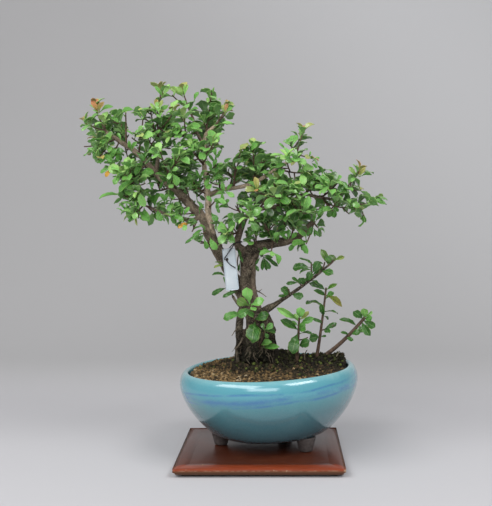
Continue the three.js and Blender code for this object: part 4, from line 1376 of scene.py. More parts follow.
def leaf_places(twig, draws):
    spaced = math.floor(SINGLE["share"] * twig.length / SINGLE["spacing"] + 0.5)
    start = 2 * math.pi * next(draws)
    places = []
    for k in range(CROWDED["count"] + spaced):
        growth = crowded(CROWDED, k)
        if k >= CROWDED["count"]:
            share = SINGLE["from"] - SINGLE["stretch"] * (k - CROWDED["count"] + 0.5) / spaced
            growth = (share, SINGLE["lean"], 1)
        places.append((k, *varied_leaf(twig, k, start, growth, draws)))
    return places


def spurs_of(twig, draws):
    """Short side growth, each spur a small twig that ends in a rosette."""
    count = max(round(twig.length / SPUR["every"]), 1)
    spurs = []
    for k in range(count):
        share = SPUR["from"] + SPUR["stretch"] * (k + next(draws)) / count
        along = twig.along(share)
        side = UP.cross(along).normalized() if abs(along.z) < 0.9 else Vector((1, 0, 0))
        turn = k * TURN + 2 * math.pi * next(draws)
        aside = side * math.cos(turn) + along.cross(side) * math.sin(turn)
        way = (aside + along * SPUR["forward"] + UP * SPUR["rising"]).normalized()
        length = SPUR["short"] + (SPUR["long"] - SPUR["short"]) * next(draws)
        spurs.append(Twig(twig.at(share), twig.at(share) + way * length))
    return spurs


def rosette_places(spur, draws):
    start = 2 * math.pi * next(draws)
    numbers = range(ROSETTE["count"])
    return [(k + 2, *varied_leaf(spur, k, start, crowded(ROSETTE, k), draws)) for k in numbers]


test_places = leaf_places(twigs_of(SPRAYS[0])[0], seeded_draws(SPRAY_SEED))
print("leaves on the first twig", len(test_places))

# %% [markdown]
# ### Shoots that are seen leaf by leaf
# Low on the tree the shoots are open, and every leaf shows. A rule would give the right number but not the
# right tree, so these shoots are listed one by one. A row holds where the leaf leaves the wood, where its tip
# is, its width, how far it faces up rather than forwards, its age and, where it has one, its blush.

# %% Place the low leaves
# The ages here run high, so these low leaves are dark: partly old leaves, partly painted shade under the
# crown.
PLACED = {
    "shoot_front": ([((-13, -9, 147), (-22, -28, 182)), ((-18, -22, 166), (-31, -32, 172))], [
        (-22, -28, 182, -25, -32, 202, 1.25, 0.1, 0.56),
        (-22, -27, 180, -37, -30, 188, 1.25, 0.1, 0.83, 0.1), (-22, -27, 180, -5, -34, 187, 1.1, 0.3, 0.68),
        (-21, -27, 179, -16, -36, 175, 1.3, 0.4, 0.66), (-21, -25, 176, -36, -36, 169, 1.0, 0.3, 0.86),
        (-30, -32, 172, -53, -36, 166, 0.8, 0.35, 0.86), (-18, -20, 165, -25, -34, 172, 1.0, 0.3, 0.86),
        (-17, -17, 160, -20, -42, 139, 1.0, 0.0, 0.98), (-18, -18, 162, 0, -26, 169, 1.1, 0.3, 0.98),
        (-16, -16, 157, -13, -34, 139, 0.8, 0.0, 1),
    ]),
    "shoot_front_low": ([((-9, -7, 124), (-15, -30, 148)), ((-11, -19, 133), (-5, -30, 151))], [
        (-5, -30, 151, 5, -32, 159, 1.1, 0.3, 0.86), (-5, -30, 150, 8, -28, 148, 1.0, 0.3, 1),
        (-5, -29, 149, -1, -30, 142, 1.2, 0.1, 0.96), (-5, -30, 150, -8, -26, 159, 1.0, 0.2, 1),
        (-11, -14, 130, 3, -26, 136, 1.0, 0.5, 0.78), (-10, -10, 127, 12, -22, 130, 0.6, 0.4, 0.83),
        (-15, -30, 148, -20, -28, 155, 1.1, 0.3, 0.96),
    ]),
    "shoot_left": ([((-31, -3, 173), (-45, -8, 193)), ((-45, -8, 193), (-51, -8, 228))], [
        (-51, -9, 214, -67, -14, 216, 0.95, 0.4, 1), (-50, -9, 200, -68, -6, 192, 0.9, 0.35, 1),
        (-37, -9, 195, -54, -17, 190, 0.8, 0.4, 1), (-52, -9, 228, -64, -9, 231, 0.4, 0.3, 0.83, 0.1),
        (-53, -9, 227, -65, -14, 225, 0.45, 0.4, 0.66, 0.3),
        (-51, -9, 202, -54, -6, 213, 0.45, 0.2, 0.76, 0.05),
    ]),
    "spray_low_root": ([((25, -13, 191), (23, -20, 199))], [
        (23, -13, 189, 12, -16, 190, 1.0, 0.4, 1), (25, -13, 191, 18, -22, 197, 1.3, 0.2, 1),
        (27, -13, 192, 15, -18, 200, 1.1, 0.3, 1), (27, -13, 192, 41, -20, 189, 1.1, 0.2, 1),
    ]),
    "spray_low_mid": ([((51, -15, 210), (51, -18, 230)), ((40, -15, 202), (35, -20, 208))], [
        (36, -18, 206, 21, -20, 205, 0.6, 0.3, 1), (37, -18, 205, 28, -16, 212, 1.0, 0.3, 1),
        (42, -15, 203, 37, -24, 212, 1.35, 0.1, 1), (42, -15, 203, 46, -14, 211, 1.0, 0.2, 1),
        (48, -15, 208, 60, -12, 202, 0.8, 0.5, 1), (45, -15, 206, 51, -20, 219, 1.1, 0.3, 1),
        (53, -17, 226, 38, -18, 235, 0.7, 0.6, 1), (52, -17, 217, 60, -22, 231, 1.15, 0.2, 1),
        (50, -17, 224, 29, -16, 223, 1.0, 0.6, 1), (52, -17, 221, 37, -20, 217, 0.9, 0.6, 1),
        (52, -16, 214, 66, -10, 224, 1.1, 0.3, 1),
    ]),
    "spray_low_tip": ([((70, -17, 225), (78, -20, 232)), ((64, -16, 220), (67, -18, 230))], [
        (71, -17, 226, 63, -20, 245, 0.85, 0.2, 0.91, 0.08),
        (78, -20, 232, 90, -22, 236, 0.95, 0.1, 0.78, 0.25),
        (70, -18, 225, 78, -14, 238, 1.2, 0.2, 0.96, 0.05), (62, -16, 220, 76, -26, 216, 1.1, 0.3, 0.96),
        (66, -17, 227, 58, -14, 230, 0.9, 0.3, 0.96), (75, -19, 229, 68, -24, 237, 1.2, 0.2, 0.91),
    ]),
    "shoot_stone": ([((33, -4, 116), (36, -18, 164)), ((34, -8, 136), (46, -14, 140))], [
        (36, -17, 161, 10, -26, 177, 0.55, 0.2, 0.61, 0.05), (36, -18, 163, 38, -24, 177, 1.35, 0.1, 0.58),
        (36, -17, 161, 47, -18, 171, 0.9, 0.1, 0.76, 0.35), (36, -17, 156, 53, -22, 164, 0.9, 0.3, 0.86),
        (35, -14, 149, 14, -20, 162, 1.0, 0.1, 0.98), (35, -14, 149, 43, -26, 156, 1.3, 0.1, 0.83),
        (35, -13, 144, 53, -16, 143, 0.5, 0.6, 1), (34, -13, 146, 27, -28, 123, 0.95, 0.1, 1),
        (34, -9, 129, 48, -18, 136, 1.2, 0.2, 1), (35, -16, 154, 26, -14, 159, 1.0, 0.3, 0.78),
        (36, -17, 158, 30, -12, 168, 0.9, 0.3, 0.68, 0.1),
    ]),
    "shoot_tall": ([((57, 9, 112), (69, 0, 198)), ((64, 6, 146), (78, 4, 152))], [
        (69, 0, 195, 49, -10, 205, 0.55, 0.3, 1), (69, 0, 195, 82, -6, 203, 0.7, 0.2, 0.78, 0.1),
        (68, 1, 188, 54, -10, 196, 0.85, 0.3, 1), (68, 1, 189, 87, -10, 176, 0.65, 0.5, 0.86, 0.35),
        (66, 2, 176, 44, -8, 181, 0.75, 0.75, 1), (66, 1, 163, 62, -8, 180, 0.72, 0.0, 1),
        (66, 2, 169, 83, 0, 167, 0.6, 0.6, 1), (64, 4, 154, 53, -6, 161, 0.8, 0.4, 1),
        (65, 6, 146, 81, 6, 154, 0.9, 0.3, 1), (66, 6, 147, 72, -4, 144, 1.2, 0.3, 1),
        (61, 6, 138, 48, -4, 137, 1.3, 0.2, 1), (61, 6, 138, 69, 6, 139, 0.7, 0.3, 0.96),
        (67, 1, 183, 78, 8, 192, 0.9, 0.3, 0.86), (65, 3, 164, 72, 8, 159, 0.8, 0.4, 1),
    ]),
    "shoot_slanted": ([((64, 11, 112), (115, -2, 162))], [
        (113, -2, 160, 101, -8, 170, 1.1, 0.3, 1), (114, -2, 160, 114, -4, 173, 1.35, 0.1, 0.78, 0.05),
        (115, -2, 162, 124, 0, 169, 1.0, 0.1, 0.58, 0.05), (114, -2, 160, 123, -8, 162, 1.3, 0.1, 0.86),
        (112, -1, 159, 127, -4, 150, 1.0, 0.2, 0.98), (111, -1, 157, 120, -10, 141, 1.0, 0.0, 0.96),
        (107, 0, 153, 112, -4, 144, 1.2, 0.1, 0.91), (97, 3, 141, 110, -6, 145, 0.9, 0.4, 0.96),
        (106, 0, 151, 85, -2, 160, 0.6, 0.4, 1), (96, 3, 140, 86, 0, 144, 0.8, 0.4, 1),
        (93, 4, 137, 100, -6, 135, 1.0, 0.3, 0.96),
    ]),
}
print("hand set leaves", sum(len(leaves) for twigs, leaves in PLACED.values()))

# %% [markdown]
# ### Leaves that mark the crown's edge
# In the crown the rule does most of the work. The leaves that draw its outline, fill its thin places or
# stand out in lime and copper are listed in the same kind of rows.
# They stand in groups of one depth, and their tips lean out of that plane by turns, so a row gives
# only what the camera sees: the place across and the height of root and of tip, and then the same values.

# %% Add the leaves at the edge
OUT_OF_PLANE = (-5, 3, -8, 0)
ADDED = {
    "spray_left_tip": ([], [(-4, 0, [
        (-202, 412, -209, 426, 0.8, 0.2, 0.35, 0.95), (-202, 412, -205, 429, 0.8, 0.1, 0.3, 1.0),
        (-201, 412, -193, 424, 0.8, 0.2, 0.35, 0.7), (-201, 412, -184, 419, 0.6, 0.3, 0.4),
        (-202, 411, -207, 415, 0.9, 0.4, 0.5),
    ])]),
    "spray_left_end": ([], [(-16, 0, [
        (-195, 365, -212, 368, 0.6, 0.3, 0.6), (-194, 363, -208, 357, 0.7, 0.3, 0.6),
        (-189, 359, -199, 351, 0.95, 0.2, 0.75),
    ])]),
    "spray_left_arch": ([], [(6, 0, [
        (-179, 409, -160, 415, 0.6, 0.5, 0.6), (-146, 412, -161, 410, 0.7, 0.3, 0.6),
    ])]),
    "spray_left_hang": ([((-153, -26, 329), (-167, -30, 335))], [(-30, 0, [
        (-165, 335, -185, 346, 1.0, 0.1, 0.04), (-164, 333, -163, 358, 0.75, 0.1, 0.06),
        (-167, 335, -180, 338, 0.6, 0.3, 0.12), (-164, 335, -156, 347, 0.7, 0.2, 0.5),
        (-182, 343, -189, 334, 0.75, 0.2, 0.4, 1.9), (-183, 344, -196, 339, 0.8, 0.3, 0.6),
        (-171, 336, -179, 325, 0.85, 0.2, 0.62), (-154, 331, -174, 316, 0.95, 0.2, 0.72),
        (-152, 329, -136, 333, 0.35, 0.5, 0.2), (-136, 317, -135, 327, 0.9, 0.1, 0.85),
        (-145, 351, -153, 335, 0.95, 0.2, 0.85),
    ])]),
    "spray_shoot_end": ([], [(-18, 0, [
        (-174, 313, -199, 309, 0.62, 0.25, 0.5), (-169, 305, -163, 284, 0.95, 0.15, 0.68),
        (-156, 290, -154, 276, 0.55, 0.2, 0.3, 0.35), (-147, 298, -143, 281, 1.15, 0.1, 0.7),
        (-131, 295, -126, 281, 1.0, 0.1, 0.8), (-117, 293, -110, 278, 0.95, 0.1, 0.8),
        (-92, 278, -106, 273, 0.55, 0.3, 0.4, 1.9),
    ])]),
    "spray_top_left": ([], [(0, 0, [
        (-99, 429, -115, 441, 0.55, 0.3, 0.5, 0.2), (-99, 429, -95, 445, 0.85, 0.1, 0.2),
        (-100, 429, -105, 441, 0.8, 0.1, 0.2, 0.1), (-87, 423, -81, 435, 0.8, 0.2, 0.75),
    ])]),
    "spray_upright_top": ([], [(-8, 0, [
        (-123, 429, -132, 441, 0.8, 0.2, 0.4), (-123, 430, -125, 445, 0.8, 0.1, 0.35, 0.6),
        (-123, 429, -114, 442, 0.8, 0.1, 0.1), (-123, 430, -116, 431, 0.5, 0.4, 0.6),
        (-130, 412, -138, 421, 0.8, 0.1, 0.08, 0.1), (-130, 412, -131, 427, 0.8, 0.1, 0.15, 0.6),
        (-129, 413, -122, 424, 0.6, 0.1, 0.2, 0.3),
    ])]),
    "spray_top_right": ([], [(-13, 0, [
        (-49, 407, -45, 419, 0.8, 0.2, 0.3, 0.9), (-49, 407, -52, 418, 0.8, 0.2, 0.2, 0.3),
        (-48, 407, -38, 415, 0.6, 0.3, 0.5), (-62, 393, -38, 395, 0.5, 0.5, 0.4),
    ])]),
    "spray_right_top": ([], [(-8, 0, [
        (106, 330, 97, 342, 0.6, 0.2, 0.35, 0.2), (108, 330, 110, 343, 0.8, 0.1, 0.3, 0.9),
        (109, 330, 116, 341, 0.7, 0.2, 0.35, 0.5), (109, 330, 124, 332, 0.5, 0.4, 0.5),
        (106, 329, 98, 325, 0.8, 0.4, 0.5),
    ])]),
    "spray_right_end": ([], [(-6, 0, [
        (117, 304, 141, 297, 0.5, 0.3, 0.5), (105, 293, 117, 276, 0.7, 0.1, 0.7),
    ])]),
    "limb_spurs": ([
        ((-75, -14, 267), (-77, -18, 265)), ((38, -14, 261), (41, -18, 255)),
        ((38, -14, 261), (33, -18, 253)), ((-70, -6, 297), (-60, -14, 307)),
        ((-5, -8, 248), (-7, -14, 237)),
    ], [(-12, 0, [
        (-122, 302, -127, 314, 0.8, 0.5, 0.6), (-121, 302, -119, 316, 0.8, 0.5, 0.7),
        (-116, 300, -108, 309, 0.7, 0.5, 0.7), (-102, 285, -103, 299, 0.8, 0.4, 0.7),
        (-100, 284, -93, 297, 0.8, 0.5, 0.6), (-98, 283, -86, 288, 0.6, 0.6, 0.75),
        (-65, 341, -72, 351, 0.8, 0.4, 0.6), (-64, 341, -60, 354, 0.8, 0.5, 0.7),
        (-63, 340, -53, 347, 0.7, 0.5, 0.6), (-54, 315, -65, 321, 0.7, 0.6, 0.7),
        (-52, 314, -53, 326, 0.8, 0.4, 0.6), (-49, 313, -42, 324, 0.7, 0.5, 0.65),
        (-81, 329, -84, 341, 0.7, 0.4, 0.75), (-80, 328, -76, 340, 0.7, 0.4, 0.65),
        (-81, 289, -75, 300, 0.6, 0.5, 0.8), (-172, 291, -181, 297, 0.7, 0.6, 0.6),
        (-169, 292, -176, 303, 0.7, 0.5, 0.6), (53, 277, 46, 287, 0.8, 0.4, 0.75),
        (54, 277, 56, 289, 0.8, 0.4, 0.7), (56, 276, 64, 284, 0.7, 0.5, 0.7),
        (51, 273, 47, 261, 0.8, 0.2, 0.85), (54, 270, 60, 261, 0.8, 0.2, 0.8),
        (23, 256, 14, 265, 0.8, 0.4, 0.7), (24, 256, 25, 269, 0.8, 0.4, 0.65),
        (26, 256, 35, 265, 0.8, 0.4, 0.7), (10, 253, 2, 261, 0.8, 0.4, 0.75),
        (11, 253, 14, 264, 0.7, 0.4, 0.7), (-60, 355, -63, 368, 0.8, 0.4, 0.5),
        (-58, 355, -53, 364, 0.7, 0.4, 0.6), (-108, 365, -111, 377, 0.8, 0.4, 0.5),
        (-106, 365, -99, 374, 0.7, 0.5, 0.55), (-184, 340, -194, 348, 0.7, 0.6, 0.6),
        (-184, 343, -186, 354, 0.7, 0.4, 0.6),
    ]), (-12, 2, [
        (-7, 248, 0, 242, 0.7, 0.3, 0.85), (-12, 247, -5, 239, 0.7, 0.3, 0.9),
        (38, 253, 41, 244, 0.7, 0.2, 0.8), (-173, 376, -178, 387, 0.7, 0.4, 0.6),
        (-75, 267, -81, 276, 0.7, 0.5, 0.75),
    ]), (-12, 0, [
        (-63, 431, -61, 438, 0.6, 0.2, 0.3), (-59, 423, -54, 425, 0.7, 0.3, 0.4),
        (-48, 418, -38, 418, 0.5, 0.4, 0.3, 0.2), (-48, 397, -40, 394, 0.7, 0.4, 0.4),
        (-93, 421, -100, 422, 0.6, 0.3, 0.4), (-91, 412, -81, 414, 0.7, 0.4, 0.5),
        (26, 266, 16, 263, 0.7, 0.4, 0.75), (55, 270, 56, 260, 0.7, 0.2, 0.8),
        (-84, 305, -76, 296, 0.8, 0.2, 0.8), (-83, 341, -80, 330, 0.7, 0.2, 0.8),
        (-7, 266, -5, 275, 0.7, 0.2, 0.7), (-41, 355, -51, 350, 0.7, 0.3, 0.7),
        (22, 371, 28, 377, 0.7, 0.3, 0.4), (81, 294, 79, 282, 0.7, 0.2, 0.85),
    ]), (-12, 0, [
        (-156, 364, -145, 353, 0.8, 0.2, 0.9), (-139, 366, -150, 353, 0.8, 0.2, 0.85),
        (-130, 335, -116, 329, 0.8, 0.2, 0.95), (-121, 332, -128, 320, 0.8, 0.1, 0.9),
        (-116, 335, -106, 322, 0.7, 0.2, 0.85), (-122, 323, -111, 327, 0.7, 0.3, 0.95),
        (-162, 366, -163, 377, 0.8, 0.2, 0.6), (-162, 364, -155, 376, 0.8, 0.2, 0.5),
        (-159, 385, -150, 389, 0.7, 0.4, 0.6), (-158, 383, -167, 389, 0.7, 0.2, 0.7),
        (-180, 362, -175, 352, 0.8, 0.2, 0.8), (-180, 361, -187, 354, 0.8, 0.3, 0.8),
        (-185, 350, -194, 352, 0.6, 0.4, 0.7), (-185, 348, -197, 342, 0.8, 0.3, 0.75),
        (-63, 350, -69, 359, 0.8, 0.2, 0.7), (-63, 351, -56, 360, 0.8, 0.2, 0.8),
        (-54, 300, -63, 306, 0.8, 0.3, 0.8), (-53, 298, -46, 306, 0.8, 0.2, 0.75),
        (-61, 298, -57, 290, 0.8, 0.2, 0.9), (-78, 274, -89, 270, 0.8, 0.3, 0.75),
        (-77, 270, -89, 263, 0.8, 0.3, 0.7), (-76, 265, -84, 255, 0.9, 0.2, 0.85),
        (-83, 279, -92, 275, 0.5, 0.3, 0.85), (-30, 269, -28, 280, 0.8, 0.2, 0.8),
        (55, 351, 45, 356, 0.8, 0.2, 0.7), (53, 348, 62, 354, 0.8, 0.3, 0.6),
        (53, 347, 59, 341, 0.7, 0.2, 0.8), (50, 353, 52, 361, 0.7, 0.2, 0.5),
        (79, 296, 77, 283, 0.8, 0.1, 0.85), (76, 297, 84, 289, 0.8, 0.3, 0.8),
        (55, 296, 52, 286, 0.8, 0.2, 0.85), (57, 294, 62, 283, 0.8, 0.1, 0.8),
        (54, 273, 49, 261, 0.8, 0.1, 0.85), (70, 339, 78, 336, 0.6, 0.4, 0.7),
        (-95, 403, -85, 398, 0.6, 0.4, 0.7), (-143, 399, -136, 401, 0.6, 0.4, 0.7),
        (-37, 248, -32, 237, 0.7, 0.1, 1.0), (-34, 231, -36, 220, 0.7, 0.1, 1.0),
        (-35, 239, -30, 231, 0.6, 0.1, 1.0),
    ]), (-14, 0, [
        (-7, 238, 5, 236, 0.7, 0.2, 0.95), (-6, 237, 12, 225, 0.42, 0.3, 1.0),
        (-6, 237, 8, 230, 0.55, 0.3, 1.0), (-6, 237, 2, 222, 0.75, 0.1, 0.95),
        (-7, 235, -7, 221, 0.8, 0.1, 1.0), (-9, 237, -15, 228, 0.7, 0.2, 0.95),
        (-15, 228, -12, 220, 0.7, 0.1, 1.0), (-6, 237, -2, 221, 0.6, 0.1, 1.0),
    ]), (-14, 3, [
        (-178, 368, -174, 354, 0.9, 0.2, 0.85), (-177, 369, -185, 358, 0.8, 0.3, 0.7),
        (-25, 358, -28, 371, 0.9, 0.2, 0.8), (-20, 361, -10, 373, 0.8, 0.2, 0.7),
        (22, 363, 15, 371, 0.8, 0.2, 0.7), (-67, 290, -60, 280, 1.15, 0.1, 0.85),
        (-66, 309, -50, 313, 0.6, 0.3, 0.35), (-62, 307, -49, 301, 0.8, 0.3, 0.5),
        (-54, 316, -54, 301, 0.8, 0.1, 0.6), (-51, 316, -39, 308, 0.8, 0.2, 0.4),
        (-59, 306, -60, 294, 0.8, 0.2, 0.6), (-66, 302, -71, 310, 0.8, 0.2, 0.45),
    ]), (-18, 0, [
        (-77, 266, -97, 255, 0.5, 0.3, 0.85), (-76, 260, -72, 247, 0.85, 0.1, 0.75),
        (40, 256, 46, 241, 0.95, 0.1, 0.8), (34, 254, 25, 244, 1.0, 0.1, 0.85),
        (-69, 261, -61, 246, 0.9, 0.1, 0.7),
    ])]),
}


def added_growth(name):
    """Twigs, and leaves in rows of the same kind as the placed ones, with their depth worked out."""
    twigs, groups = ADDED[name]
    rows = []
    for depth, first, leaves in groups:
        for k, (x, z, tip_x, tip_z, *rest) in enumerate(leaves):
            aside = OUT_OF_PLANE[(first + k) % len(OUT_OF_PLANE)]
            rows.append((x, depth, z, tip_x, depth + aside, tip_z, *rest))
    return twigs, rows


print("added leaves", sum(len(added_growth(name)[1]) for name in ADDED))

# %% [markdown]
# ### Sky between the sprays
# A pruned crown is read by its gaps. Each row is a round gap as the camera sees it, by its place across,
# its height and its radius. No leaf may cover a gap, and no leaf may stand in front of wood that shows.

# %% Keep the gaps open
SKY_GAPS = [
    (-119, 363, 6), (-147, 325, 5), (-116, 436, 3), (-89, 431, 2), (-76, 428, 4), (-50, 371, 7),
    (-46, 355, 5), (-41, 301, 6), (-55, 285, 4), (1, 365, 6), (27, 340, 5), (83, 286, 5), (94, 284, 6),
    (104, 279, 6), (132, 290, 6), (118, 323, 6), (130, 314, 5), (25, 385, 7), (47, 405, 4), (66, 361, 6),
    (75, 341, 7), (92, 330, 5), (-33, 263, 5), (18, 244, 5), (20, 230, 7), (50, 244, 7), (-103, 261, 7),
    (-94, 267, 6), (-85, 271, 3), (-112, 270, 6), (-125, 275, 5), (-143, 275, 5), (-159, 272, 6),
    (-173, 277, 6), (-89, 248, 8), (-233, 395, 5), (-231, 378, 6), (-228, 361, 6), (-210, 347, 7),
    (-220, 427, 6), (-191, 426, 5), (-179, 421, 4), (-162, 422, 6), (-148, 423, 6), (-139, 429, 5),
    (-136, 450, 4), (-97, 450, 4), (-61, 439, 5), (-53, 428, 4), (-35, 404, 6), (-169, 403, 5),
    (-164, 385, 5), (-183, 323, 6), (-191, 324, 6), (-174, 356, 3), (-96, 312, 5), (-99, 288, 4),
    (-126, 317, 3), (-103, 397, 3), (-36, 291, 4), (52, 302, 2), (30, 333, 4), (51, 282, 2), (74, 275, 4),
    (-40, 364, 5), (122, 287, 4), (-79, 238, 4), (-50, 381, 6), (-65, 357, 4), (-214, 355, 4), (17, 373, 3),
    (-55, 357, 4), (83, 339, 3), (59, 256, 4), (13, 243, 4), (49, 368, 4), (-81, 438, 5), (-82, 424, 4),
    (-185, 330, 4), (125, 312, 4), (55, 364, 4), (-225, 383, 4), (-216, 373, 4), (81, 295, 3),
]
BARE_WOOD = [
    (-181, 383, 3), (-174, 378, 3), (-166, 372, 4), (-160, 367, 3), (-140, 350, 4), (-133, 343, 4),
    (-110, 314, 4), (-103, 306, 5), (-96, 297, 5), (-88, 288, 5), (-81, 279, 5), (-74, 271, 5),
    (-69, 262, 5), (-71, 299, 4), (-72, 290, 4), (-55, 317, 4), (-43, 319, 4), (-128, 393, 3),
    (-127, 384, 3), (-185, 400, 2), (-51, 405, 2), (36, 367, 2), (-1, 252, 4), (18, 256, 4), (30, 260, 4),
    (-44, 246, 6), (-49, 239, 4),
]
GAP_MARGIN = 2.5


def seen_at(spot):
    """Where the camera sees a spot, carried to the upright plane through the bowl's middle."""
    ray = spot * MM - CAMERA_AT
    meets = (CAMERA_AT + ray * (-CAMERA_AT.y / ray.y)) / MM
    return meets.x, meets.z


def covers(spot, circles):
    x, z = seen_at(spot)
    return any(math.hypot(x - gap_x, z - gap_z) < radius + GAP_MARGIN for gap_x, gap_z, radius in circles)


print("gaps", len(SKY_GAPS), "bare places", len(BARE_WOOD))

# %% [markdown]
# ### Short growth on the limbs
# Old wood breaks into short leafy spurs all along its length, and they hide most of each limb. They belong
# to no one spray, so they are one piece of their own.

# %% List the spurs on the limbs
LIMB_SPURS = [
    ((-72, -2, 311), (-89, -14, 328)), ((-73, -3, 322), (-86, 14, 310)), ((-92, 2, 300), (-96, -16, 322)),
    ((-100, 1, 309), (-114, -18, 307)), ((-92, 2, 300), (-108, 14, 295)), ((-84, 3, 291), (-110, -8, 290)),
    ((-57, -3, 317), (-58, -14, 334)), ((-46, -4, 319), (-43, 12, 334)), ((-74, -3, 332), (-64, -22, 325)),
    ((-14, -4, 248), (-14, -20, 264)), ((-19, -3, 246), (-22, -16, 261)),
    ((-178, 2, 378), (-187, -14, 359)), ((-172, 2, 374), (-170, 10, 359)), ((55, -5, 308), (46, -10, 323)),
    ((-131, 1, 370), (-139, -8, 418)), ((-131, 0, 361), (-141, -16, 380)), ((-66, 7, 253), (-84, -14, 258)),
]
print("limb spurs", len(LIMB_SPURS))

# %% [markdown]
# ### Growing each spray
# One object holds a spray: its twigs as tapered tubes and its leaves. Age runs from lime at the bud to deep
# green, and blush is the copper tint of the newest leaves. Leaves high in the crown and on its right side are
# made younger, so lighter, as painted light. A leaf that would lie in the wood or in the tag is left off.

# %% Grow the sprays
# Sprays that are younger than the rule makes them, or older where the number is below zero
YOUNG_SPRAYS = {
    "spray_left_tip": 0.12, "spray_shoot_end": 0.08, "spray_top_left": 0.12, "spray_bridge_tip": 0.12,
    "spray_middle_front": 0.15, "spray_left_arch": 0.1, "spray_elbow_front": -0.35, "spray_elbow_tip": -0.25,
    "spray_low_root": -0.2,
}
BLUSHING = (
    "spray_left_tip", "spray_left_end", "spray_upright_top", "spray_top_right", "spray_bridge_tip",
    "spray_right_top", "spray_bridge_bud", "spray_top_left", "spray_middle_tip", "spray_left_rear",
    "spray_right_rear",
)
TAG_MIDDLE = Vector((-45, -14, 222))
TAG_CLEAR = Vector((11, 5, 28))
LOOK_SEED = 31337
WOOD_CLEAR = 2.2 * MM
SPUR_BASE = 0.9
LEAF_FULLNESS = 1.2
LEAFY_REACH = 6
BROAD_LEAF = 2
BURIED = 30
LONG_SHOOTS = (
    "spray_bridge_tip", "spray_right_top", "spray_middle_tip", "spray_top_right", "spray_upright_top",
    "spray_left_tip", "spray_top_left", "spray_left_arch", "spray_left_rise",
)
BARE_FROM = 0.42
OPEN_SPRAYS = ("spray_elbow_tip",)
FORK_BASE = 1.05
VIEWER = Vector((0, -1, 0))
PLACED_WIDTH = 0.85
PLACED_GLOSS = 0.7
SUNLIT = 0.27
BRIGHT_SIDE = 0.06


def in_the_way(root, out, length, wood_tree):
    for share in (0.45, 0.75):
        spot = root + out * share * length
        away = spot - TAG_MIDDLE
        if all(abs(away[axis]) < TAG_CLEAR[axis] for axis in range(3)):
            return True
        if wood_tree.find_nearest(spot * MM, WOOD_CLEAR)[0] is not None:
            return True
        if covers(spot, SKY_GAPS) or (spot.y < 4 and covers(spot, BARE_WOOD)):
            return True
    return False


def leaf_matrix(root, out, face, length, wide=1):
    across = face.cross(out)
    turn = Matrix((out, across, face)).transposed().to_4x4()
    size = Matrix.Diagonal((length * MM, length * wide * MM, length * MM, 1))
    return Matrix.Translation(root * MM) @ turn @ size


def twig_line(twig, root_radius, steps=9, tip_radius=TWIG_TIP):
    shares = [i / steps for i in range(steps + 1)]
    return [(*twig.at(share), root_radius + (tip_radius - root_radius) * share**0.7) for share in shares]


def leafy(twig, roots):
    return any((root - twig.tip).length < LEAFY_REACH for root in roots)


def grow_spray(index, row, wood_tree, looks):
    name = row[0]
    draws = seeded_draws(SPRAY_SEED * (index + 1))
    copies, places, spurs, roots = [], [], [], []
    youth = YOUNG_SPRAYS.get(name, 0)
    twigs = twigs_of(row)
    for twig in twigs:
        bare_end = twig.length * (1 - BARE_FROM) if name in LONG_SHOOTS else 0
        for place in leaf_places(twig, draws):
            if place[0] < CROWDED["count"] or (place[1] - twig.tip).length > bare_end:
                places.append(place)
        for spur in spurs_of(twig, looks):
            if (spur.root - twig.tip).length > bare_end and name not in OPEN_SPRAYS:
                spurs.append(spur)
                places += rosette_places(spur, looks)
    for k, root, out, face, length in places:
        shape, tint, extra = any_shape(looks), next(looks), next(looks)
        if in_the_way(root, out, length, wood_tree):
            continue
        roots.append(root)
        # Painted light: leaves high in the crown, and on the right, are made younger and so lighter.
        sunlit = SUNLIT * clamp((root.z - 300) / 120) + (BRIGHT_SIDE if root.x > 10 else 0)
        age = clamp(0.06 + 0.13 * k + 0.42 * (tint - 0.35) - sunlit - youth)
        fresh = name in BLUSHING and k < 3
        blush = (0.9 - 0.25 * k) * (0.6 + 0.6 * extra) if fresh else (0.25 if k < 2 and extra > 0.6 else 0)
        if youth < 0:
            blush = 0
        copies.append((shape, leaf_matrix(root, out, face, length * LEAF_FULLNESS), [age, blush, tint]))
    lines = [twig_line(twigs[0], TWIG_BASE)]
    lines += [twig_line(fork, FORK_BASE) for fork in twigs[1:] if leafy(fork, roots)]
    lines += [twig_line(spur, SPUR_BASE, 3) for spur in spurs if leafy(spur, roots)]
    return copies, lines


def any_shape(looks):
    return int(len(LEAVES) * next(looks) * 0.999)


def grow_placed(shoot, looks, base):
    """Twigs and leaves from listed rows. The first twig starts as the base says."""
    twigs, leaves = shoot
    copies, lines = [], []
    for number, twig in enumerate(twigs):
        lines.append(twig_line(Twig(*twig), *(base if number == 0 else (FORK_BASE,))))
    if base in IN_SOIL.values():
        x, y, z, radius = lines[0][0]
        lines[0].insert(0, (x, y, z - BURIED, radius))
    for row in leaves:
        root, tip = Vector(row[:3]), Vector(row[3:6])
        wide, up, age, blush = (*row[6:], 0)[:4]
        out = tip - root
        length = out.length
        out.normalize()
        face = UP * up + VIEWER * (1 - up)
        face = (face - out * face.dot(out)).normalized()
        face = Matrix.Rotation(0.5 * (next(looks) - 0.5), 3, out) @ face
        shape = BROAD_LEAF if wide > 1.05 else any_shape(looks)
        tilt = math.atan(LEAF_SHAPES[shape]["curl"] - LEAF_SHAPES[shape]["rise"])
        rise, run = math.sin(tilt), math.cos(tilt)
        out, face = out * run + face * rise, face * run - out * rise
        tint = PLACED_GLOSS * next(looks)**2
        matrix = leaf_matrix(root, out, face, length, PLACED_WIDTH * wide)
        copies.append((shape, matrix, [age, blush, tint]))
    return copies, lines


